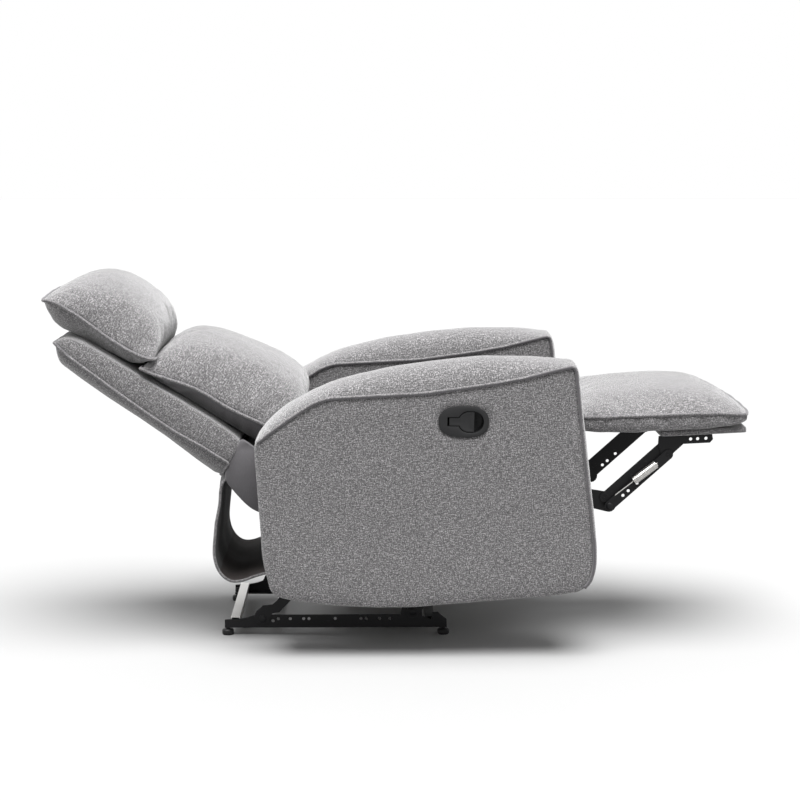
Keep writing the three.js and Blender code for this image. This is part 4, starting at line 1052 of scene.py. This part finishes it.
def make_seat_front():
    """The cloth stretched over a thin wadding in front of the rails, up to the seat cushion."""
    low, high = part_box("seat_front_rail")
    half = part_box("seat_side_rail_left")[1].y - 1.5 * MM
    rings = []
    for forwards, inset in FRONT_COVER_ROLL:
        bottom, top = low.z + inset * MM, high.z + (FRONT_COVER_ABOVE - inset) * MM
        across = half - inset * MM
        corners = [(-across, bottom), (across, bottom), (across, top), (-across, top)]
        rings.append([Vector((high.x + forwards * MM, y + (next_y - y) * k / FRONT_COVER_STEPS,
                              z + (next_z - z) * k / FRONT_COVER_STEPS))
                      for (y, z), (next_y, next_z) in zip(corners, corners[1:] + corners[:1])
                      for k in range(FRONT_COVER_STEPS)])
    points, faces = stacked(rings)
    faces.append(tuple(range(len(rings[0]) - 1, -1, -1)))
    front = new_piece("seat_front_cover", points, faces, ["Heather cloth"])
    smooth_edges(front, 50)
    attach(front, "seat")


def make_footrest_pad(settings):
    pad, seam = boxed_pad("footrest_pad_cover", footrest, REST_PAD, FOOTREST_HALF, 40, 0.03, 6.0,
                          (80, 1.8, 21.0), settings, 12)
    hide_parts("footrest_pad")
    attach(pad, "footrest")
    centre = footrest(210, 0, 30)
    piping("footrest_pad_piping", [raised(seam, centre, 1.6 * MM)], centre, settings, "footrest")


BOARD_REAR, BOARD_FRONT = 207, 416
BOARD_TOP, BOARD_BOTTOM = -5.5, -19.5


def make_footrest_board():
    """A board wrapped in the chair's cloth, with rounded edges and a folded end."""
    def face(z):
        def at(s, t):
            corner = 1 - 0.012 * abs(s * t) ** 9
            x = (BOARD_REAR + BOARD_FRONT) / 2 + (BOARD_FRONT - BOARD_REAR) / 2 * t * corner
            return footrest(x, s * (BOARD_HALF - 2) * corner, z)
        return at

    points, faces, _, _, _ = sewn_form(face(BOARD_TOP), face(BOARD_BOTTOM), 12, 24, band=4, belly=1.8)
    board = new_piece("footrest_board_cover", points, faces, ["Heather cloth"])
    rumple(board, 50, 0.5, seed=31.0)
    subdivide(board)
    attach(board, "footrest")
    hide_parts("footrest_board")


# ------------------------------------------------------------------ rear skirt
SKIRT_LINE = [(-152, 289), (-166, 282), (-172, 262), (-171, 226), (-178, 176), (-186, 130), (-190, 102),
              (-187, 74), (-178, 52), (-164, 36), (-146, 29), (-123, 31), (-104, 37),
              (-90, 41), (-72, 45), (-52, 48)]
SKIRT_THICK = 2.4
SKIRT_COLUMNS = 40
SKIRT_LINED_FROM = 0.6  # share of the length after which the inside has its second lining
BINDING_RADIUS = 3.4 * MM


def make_rear_skirt():
    """A lined cloth that hangs from the back, sweeps down and forwards, and is tacked under the seat."""
    path = softened(evenly([Vector((x, 0, z)) for x, z in SKIRT_LINE], 8), 2)
    last = len(path) - 1
    outer, inner = [], []
    for i, p in enumerate(path):
        along = (path[min(i + 1, last)] - path[max(i - 1, 0)]).normalized()
        normal = Vector((along.z, 0, -along.x))
        depth = i / last
        for j in range(SKIRT_COLUMNS + 1):
            s = 2 * j / SKIRT_COLUMNS - 1
            gather = 15 * abs(s) ** 3 * max(0.0, 1 - depth * 3.2)
            fold = 1.6 * math.sin(9 * s + 4 * depth) * math.sin(math.pi * depth)
            spot = p + Vector((gather, s * (SKIRT_HALF - 2), 0)) - normal * fold
            outer.append(seat(*spot))
            inner.append(seat(*(spot - normal * SKIRT_THICK)))
    shift = len(outer)
    faces, marks = [], []
    for k, face in enumerate(grid_faces(last, SKIRT_COLUMNS)):
        faces += [face, tuple(corner + shift for corner in reversed(face))]
        marks += [0, 2 if k // SKIRT_COLUMNS > SKIRT_LINED_FROM * len(path) else 1]
    ring = [i * (SKIRT_COLUMNS + 1) + j for i, j in grid_rim(last, SKIRT_COLUMNS)]
    for a, b in zip(ring, ring[1:] + ring[:1]):
        faces.append((b, a, a + shift, b + shift))
        marks.append(0)
    linings = ["Lining cloth", "Dust cloth", "Inner lining"]
    skirt = new_piece("rear_skirt_cloth", outer + inner, faces, linings, marks=marks)
    length = sum((b - a).length for a, b in zip(path, path[1:])) * MM
    middles = [(a + b) / 2 for a, b in zip(outer, inner)]
    edges = [middles[j::SKIRT_COLUMNS + 1] for j in (0, SKIRT_COLUMNS)]
    # The binding wears the lightened piping material, a painted highlight on its rounded edge.
    binding = new_piece("rear_skirt_binding", *join_parts([tube(line, BINDING_RADIUS) for line in edges]),
                        ["Piping cloth"])
    start, end = seat(-140, 0, 45), seat(-165, 0, 275)
    for piece in (skirt, binding):
        tuple(start)
        tuple(end)
        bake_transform(piece)
    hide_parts("rear_skirt")


# ------------------------------------------------------------------ handle
HANDLE_CENTRE = (427, 406)
HANDLE_RAKE = -5.0
HANDLE_HALF_LENGTH, HANDLE_HALF_HEIGHT = 58.0, 36.5
HANDLE_FACE_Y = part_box("handle_housing")[0].y
HANDLE_DEPTH = (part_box("handle_housing")[1].y - HANDLE_FACE_Y) / MM
NECK_REAR, NECK_FRONT, NECK_HALF = -38.0, -14.0, 10.5
CUP_FRONT, CUP_HALF = 46.0, 25.0


def handle_spot(x, z, depth=0.0):
    """A point on the handle: x and z on its face, depth into the arm, all in millimetres."""
    angle = math.radians(HANDLE_RAKE)
    spot = seat(HANDLE_CENTRE[0] + x * math.cos(angle) - z * math.sin(angle), 0,
                HANDLE_CENTRE[1] + x * math.sin(angle) + z * math.cos(angle))
    spot.y = HANDLE_FACE_Y + depth * MM
    return spot


def oval(inset, steps):
    """The housing's outline, drawn in all round by the inset."""
    power = 0.8
    result = []
    for k in range(steps):
        angle = 2 * math.pi * k / steps
        c, s = math.cos(angle), math.sin(angle)
        result.append(((HANDLE_HALF_LENGTH - inset) * math.copysign(abs(c) ** power, c),
                       (HANDLE_HALF_HEIGHT - inset) * math.copysign(abs(s) ** power, s)))
    return result


def handle_oval(inset, steps, depth=0.0):
    return [handle_spot(x, z, depth) for x, z in oval(inset, steps)]


def arc(centre_x, radius, start, turn, steps):
    """Points of an arc round (centre_x, 0), from a start angle through a turn."""
    angles = [start + turn * k / steps for k in range(steps + 1)]
    return [(centre_x + radius * math.cos(angle), radius * math.sin(angle)) for angle in angles]


CUP_CENTRE = CUP_FRONT - CUP_HALF
SHOULDER_CENTRE = NECK_FRONT + CUP_HALF
QUARTER = math.pi / 2


def keyhole(grow, steps=14):
    """The recess: a round-ended cup with a neck behind it, grown or shrunk all round."""
    half, neck = CUP_HALF + grow, NECK_HALF + grow
    meet = math.asin(neck / half)
    return (arc(CUP_CENTRE, half, -QUARTER, math.pi, steps)
            + arc(SHOULDER_CENTRE, half, QUARTER, QUARTER - meet, steps)
            + [(NECK_REAR - grow, neck), (NECK_REAR - grow, -neck)]
            + arc(SHOULDER_CENTRE, half, math.pi + meet, QUARTER - meet, steps))


OVAL_STEPS = 72
RIM_ROLL = [(0.0, 6.0), (0.0, 1.6), (0.5, 0.5), (1.6, 0.0)]  # inset and depth
HIDDEN_ROLL = [(9.0, HANDLE_DEPTH), (6.0, HANDLE_DEPTH - 4), (5.0, 7.0), (0.6, 6.4)]
RECESS_ROLL = [(1.4, 0.0), (0.4, 0.5), (0.0, 1.5), (-0.6, 14.0), (-1.6, HANDLE_DEPTH - 4.0),
               (-4.0, HANDLE_DEPTH - 2.6)]


def make_handle():
    shells = [handle_oval(inset, OVAL_STEPS, depth) for inset, depth in HIDDEN_ROLL + RIM_ROLL]
    recess = [[handle_spot(x, z, depth) for x, z in keyhole(grow)] for grow, depth in RECESS_ROLL]
    rims = [oval(RIM_ROLL[-1][0], OVAL_STEPS), keyhole(RECESS_ROLL[0][0])]
    rim_points = [Vector(p) for rim in rims for p in rim]
    flat, faces = triangulated(rim_points, [np.array(rim) for rim in rims], 1e-6)
    plate = ([handle_spot(*p) for p in flat], faces)
    parts = join_parts([plate, stacked(shells[::-1]), stacked(recess)])
    housing = new_piece("handle_housing_moulding", *parts, ["Moulded black"])
    weld(housing)
    face_outwards(housing)
    smooth_edges(housing, 40)
    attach(housing, "seat")
    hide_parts("handle_housing")
    make_lever()


LEVER_AXIS_X, LEVER_FRONT, LEVER_REAR = -29.0, 24.0, -34.0
PADDLE_DISH = [(0.3, 6.0), (0.0, 5.2), (0.0, 2.4), (0.5, 1.5), (1.5, 1.2), (4.0, 1.4), (7.0, 2.3)]


def make_lever():
    """The pull lever: a barrel in the neck and a dished paddle with a rolled front edge."""
    half, neck = CUP_HALF - 1.5, NECK_HALF - 1.2

    def outline(inset):
        wide, narrow = half - inset, neck - inset
        lift = math.acos(max(-1.0, min(1.0, (LEVER_FRONT - inset - CUP_CENTRE) / wide)))
        meet = math.asin(narrow / wide)
        return (arc(CUP_CENTRE, wide, -lift, lift - QUARTER, 8)
                + arc(SHOULDER_CENTRE, wide, -QUARTER, meet - QUARTER, 12)
                + [(LEVER_REAR + inset, -narrow), (LEVER_REAR + inset, narrow)]
                + arc(SHOULDER_CENTRE, wide, math.pi - meet, meet - QUARTER, 12)
                + arc(CUP_CENTRE, wide, QUARTER, lift - QUARTER, 8))

    def moulded(steps):
        return stacked([[handle_spot(x, z, depth) for x, z in outline(inset)] for inset, depth in steps])

    axis = [handle_spot(LEVER_AXIS_X, z, 6.6) for z in np.linspace(-neck + 0.2, neck - 0.2, 6)]
    barrel = tube(axis, 4.9 * MM, sides=20)
    parts = [moulded(PADDLE_DISH), moulded([(0.3, 6.0), (1.0, 6.2)]), barrel]
    lever = new_piece("release_lever_moulding", *join_parts(parts), ["Moulded black"])
    weld(lever)
    face_outwards(lever)
    smooth_edges(lever, 40)
    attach(lever, "handle")
    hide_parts("release_lever")


# ------------------------------------------------------------------ mechanism trim
COIL_LENGTH, COIL_END = 70 * MM, 3 * MM
COIL_OUTSIDE = 10.5 * MM
COIL_STEPS = 14


def make_springs(settings):
    """A close-wound coil with a long straight hook on each lower bar."""
    wire_radius = settings.metal.coil_wire / 2
    turns = round(COIL_LENGTH / (2.25 * wire_radius))
    total = turns * COIL_STEPS
    for name, _ in SIDES:
        node = f"footrest_spring_{name}"
        points = coordinates_of(frame["nodes"][node])
        low, high = points[points[:, 0].argmin()], points[points[:, 0].argmax()]
        y = float(points[:, 1].mean())
        start, end = Vector((low[0], y, low[2])), Vector((high[0], y, high[2]))
        axis = (end - start).normalized()
        side_way = Vector((0, 1, 0))
        up_way = axis.cross(side_way)
        coil_start = (end - start).length - COIL_LENGTH - COIL_END
        line = [start, start + axis * 4 * MM, start + axis * (coil_start - 4 * MM)]
        for k in range(total + 1):
            angle = 2 * math.pi * k / COIL_STEPS
            out = ((COIL_OUTSIDE - wire_radius) * min(1.0, k / COIL_STEPS + 0.2)
                   * min(1.0, (total - k) / COIL_STEPS + 0.2))
            line.append(start + axis * (coil_start + COIL_LENGTH * k / total)
                        + out * (math.cos(angle) * up_way + math.sin(angle) * side_way))
        line.append(end)
        spring = new_piece(f"footrest_spring_coil_{name}", *tube(line, wire_radius, sides=6), ["Zinc plate"])
        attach(spring, "lower_bars")
        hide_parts(node)


RIVET_PROFILE = [(1.0, 0.0), (1.0, 0.22), (0.93, 0.4), (0.78, 0.68), (0.5, 0.92), (0.18, 1.0)]
RIVET_STEPS = 18
RIVET_HEIGHT = 3.2 * MM
RIVET_GAP = 0.3 * MM


def rivet_head(centre, outward, radius):
    """A domed head with a small rim, standing on a plate."""
    angles = [2 * math.pi * k / RIVET_STEPS for k in range(RIVET_STEPS)]
    return stacked([[centre + Vector((radius * r * math.cos(angle), outward * RIVET_HEIGHT * h,
                                      radius * r * math.sin(angle))) for angle in angles]
                    for r, h in RIVET_PROFILE])


def make_rivets(settings):
    """Domed heads on the pins that show outside the plates, each riding with the plate that holds its pin."""
    bar_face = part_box("footrest_lower_bar_left")[1].y
    long_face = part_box("footrest_long_link_left")[0].y
    link_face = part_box("rear_swing_link_left")[1].y
    groups = {
        "seat": [("long_link_fold", long_face, -1, 1.0)],
        "long_links": [("lower_bar_fold", bar_face, 1, 1.0)],
        "base": [("recline", link_face, 1, 1.15), ("front_swing", link_face, 1, 1.15)],
    }
    for body, heads in groups.items():
        parts = []
        for joint, face, way, share in heads:
            x, _, z = JOINTS[joint]["pos_m"]
            for _, side in SIDES:
                centre = Vector((x, side * (face + way * RIVET_GAP), z))
                parts.append(rivet_head(centre, side * way, settings.metal.rivet * share))
        rivets = new_piece(f"rivet_heads_{body}", *join_parts(parts), ["Black powder coat"])
        face_outwards(rivets)
        smooth_edges(rivets, 50)
        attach(rivets, body)


def dress_frame():
    """Gives each part of the frame its finish, with its edges slightly broken."""
    finishes = {
        "black_steel": "Black powder coat", "zinc_steel": "Zinc plate", "black_plastic": "Moulded black",
        "timber": "Sawn timber", "fabric": "Heather cloth", "lining": "Lining cloth"}
    slots = {part["node"]: part["material_slot"] for part in frame["record"]["subparts"]}
    for name, node in frame["nodes"].items():
        finish = bpy.data.materials[finishes[slots[name]]]
        if not node.material_slots:
            node.data.materials.append(finish)
        for slot in node.material_slots:
            slot.material = finish
        if slots[name] in ("black_steel", "zinc_steel", "black_plastic", "timber"):
            joined = node.modifiers.new("Joined", "WELD")
            joined.merge_threshold = 0.01 * MM
            broken = node.modifiers.new("Broken edges", "BEVEL")
            broken.width = 0.5 * MM
            broken.segments = 2
            broken.limit_method = "ANGLE"
            broken.angle_limit = math.radians(40)


# ------------------------------------------------------------------ stage
CAMERA_AZIMUTH = -0.68  # degrees
CAMERA_ELEVATION = 7.67
CAMERA_DISTANCE = 5.046
CAMERA_TARGET = (0.0040, 0.0, 0.5548)
CAMERA_SENSOR = 36  # millimetres
FLOOR_HALF = 30.0
LIGHT_AIM = (-0.06, 0.22, -1)


def make_stage(settings):
    scene = bpy.context.scene
    stage = settings.stage
    azimuth, elevation = math.radians(CAMERA_AZIMUTH), math.radians(CAMERA_ELEVATION)
    away = Vector((math.sin(azimuth) * math.cos(elevation), -math.cos(azimuth) * math.cos(elevation),
                   math.sin(elevation)))
    lens = bpy.data.cameras.new("camera")
    lens.lens = stage.lens
    lens.sensor_width = CAMERA_SENSOR
    camera = bpy.data.objects.new("camera", lens)
    scene.collection.objects.link(camera)
    camera.location = Vector(CAMERA_TARGET) + away * CAMERA_DISTANCE
    camera.rotation_euler = (-away).to_track_quat("-Z", "Y").to_euler()
    scene.camera = camera

    tree, shader = new_material("Pale floor")
    clouds = noise_at(tree, object_place(tree), 1.5, 2.0)
    tree.links.new(shade(tree, clouds, opaque(stage.floor), opaque(stage.floor, 0.98)), shader["Base Color"])
    shader["Roughness"].default_value = 0.8
    corners = [(x * FLOOR_HALF, y * FLOOR_HALF, 0) for x, y in ((-1, -1), (1, -1), (1, 1), (-1, 1))]
    floor = new_piece("floor", corners, [(0, 1, 2, 3)], ["Pale floor"], smooth=False)

    world = bpy.data.worlds.new("studio")
    world.use_nodes = True
    background = world.node_tree.nodes["Background"].inputs
    background["Color"].default_value = (1, 1, 1, 1)
    background["Strength"].default_value = stage.fill
    scene.world = world
    light = bpy.data.lights.new("overhead light", "SUN")
    light.energy = stage.key
    light.angle = stage.softness
    lamp = bpy.data.objects.new("overhead light", light)
    scene.collection.objects.link(lamp)
    lamp.location = (0, 0, 4)
    lamp.rotation_euler = Vector(LIGHT_AIM).to_track_quat("-Z", "Y").to_euler()
    scene.view_settings.view_transform = "Standard"


# ------------------------------------------------------------------ operators
class RECLINER_OT_stage(bpy.types.Operator):
    """Place the camera, the pale floor and the soft studio light"""
    bl_idname = "recliner.stage"
    bl_label = "Stage"

    def execute(self, context):
        make_stage(context.scene.recliner)
        return {"FINISHED"}


class RECLINER_OT_finishes(bpy.types.Operator):
    """Mix the cloths, metals, plastic and timber, and give the frame its finishes"""
    bl_idname = "recliner.finishes"
    bl_label = "Finishes"

    def execute(self, context):
        make_finishes(context.scene.recliner)
        dress_frame()
        return {"FINISHED"}


class RECLINER_OT_arms(bpy.types.Operator):
    """Sew the corded covers of both arms"""
    bl_idname = "recliner.arms"
    bl_label = "Arms"

    def execute(self, context):
        make_arms(context.scene.recliner)
        return {"FINISHED"}


class RECLINER_OT_seat_cushion(bpy.types.Operator):
    """Sew and fill the seat cushion"""
    bl_idname = "recliner.seat_cushion"
    bl_label = "Seat Cushion"

    def execute(self, context):
        make_seat_cushion(context.scene.recliner)
        make_seat_front()
        return {"FINISHED"}


class RECLINER_OT_footrest(bpy.types.Operator):
    """Sew and fill the footrest's pad and wrap its board"""
    bl_idname = "recliner.footrest"
    bl_label = "Footrest"

    def execute(self, context):
        make_footrest_pad(context.scene.recliner)
        make_footrest_board()
        return {"FINISHED"}


class RECLINER_OT_head_pillow(bpy.types.Operator):
    """Sew and fill the head pillow"""
    bl_idname = "recliner.head_pillow"
    bl_label = "Head Pillow"

    def execute(self, context):
        make_head_pillow(context.scene.recliner)
        return {"FINISHED"}


class RECLINER_OT_lumbar_cushion(bpy.types.Operator):
    """Sew and fill the lumbar cushion"""
    bl_idname = "recliner.lumbar_cushion"
    bl_label = "Lumbar Cushion"

    def execute(self, context):
        make_lumbar_cushion(context.scene.recliner)
        return {"FINISHED"}


class RECLINER_OT_back_shell(bpy.types.Operator):
    """Cover the back's tub and the block at its foot"""
    bl_idname = "recliner.back_shell"
    bl_label = "Back Shell"

    def execute(self, context):
        make_back_shell(context.scene.recliner)
        make_lower_pad()
        make_lower_sides()
        return {"FINISHED"}


class RECLINER_OT_rear_skirt(bpy.types.Operator):
    """Hang the bound skirt that closes the rear"""
    bl_idname = "recliner.rear_skirt"
    bl_label = "Rear Skirt"

    def execute(self, context):
        make_rear_skirt()
        return {"FINISHED"}


class RECLINER_OT_handle(bpy.types.Operator):
    """Mould the recessed release handle and its lever"""
    bl_idname = "recliner.handle"
    bl_label = "Release Handle"

    def execute(self, context):
        make_handle()
        return {"FINISHED"}


class RECLINER_OT_mechanism(bpy.types.Operator):
    """Wind the footrest's springs and set the rivet heads"""
    bl_idname = "recliner.mechanism"
    bl_label = "Mechanism Trim"

    def execute(self, context):
        make_springs(context.scene.recliner)
        make_rivets(context.scene.recliner)
        return {"FINISHED"}


OPERATORS = (
    RECLINER_OT_stage,
    RECLINER_OT_finishes,
    RECLINER_OT_arms,
    RECLINER_OT_seat_cushion,
    RECLINER_OT_footrest,
    RECLINER_OT_head_pillow,
    RECLINER_OT_lumbar_cushion,
    RECLINER_OT_back_shell,
    RECLINER_OT_rear_skirt,
    RECLINER_OT_handle,
    RECLINER_OT_mechanism,
)


class RECLINER_PT_panel(bpy.types.Panel):
    """Every piece of the recliner, in the order it is made"""
    bl_idname = "RECLINER_PT_panel"
    bl_label = "Recliner Armchair"
    bl_space_type = "VIEW_3D"
    bl_region_type = "UI"
    bl_category = "Recliner"

    def draw(self, context):
        for part in ("cloth", "metal", "stage"):
            settings = getattr(context.scene.recliner, part)
            box = self.layout.box()
            box.label(text=part.capitalize())
            for key in settings.__annotations__:
                box.prop(settings, key)
        for made in OPERATORS:
            self.layout.operator(made.bl_idname)


CLASSES = (ClothSettings, MetalSettings, StageSettings, ReclinerSettings) + OPERATORS + (RECLINER_PT_panel,)


def register():
    for made in CLASSES:
        bpy.utils.register_class(made)
    bpy.types.Scene.recliner = bpy.props.PointerProperty(type=ReclinerSettings)


def unregister():
    del bpy.types.Scene.recliner
    for made in reversed(CLASSES):
        bpy.utils.unregister_class(made)


def main():
    register()
    bpy.ops.recliner.stage()
    bpy.ops.recliner.finishes()
    bpy.ops.recliner.arms()
    bpy.ops.recliner.seat_cushion()
    bpy.ops.recliner.footrest()
    bpy.ops.recliner.head_pillow()
    bpy.ops.recliner.lumbar_cushion()
    bpy.ops.recliner.back_shell()
    bpy.ops.recliner.rear_skirt()
    bpy.ops.recliner.handle()
    bpy.ops.recliner.mechanism()
    bpy.context.view_layer.update()


if __name__ == "__main__":
    main()
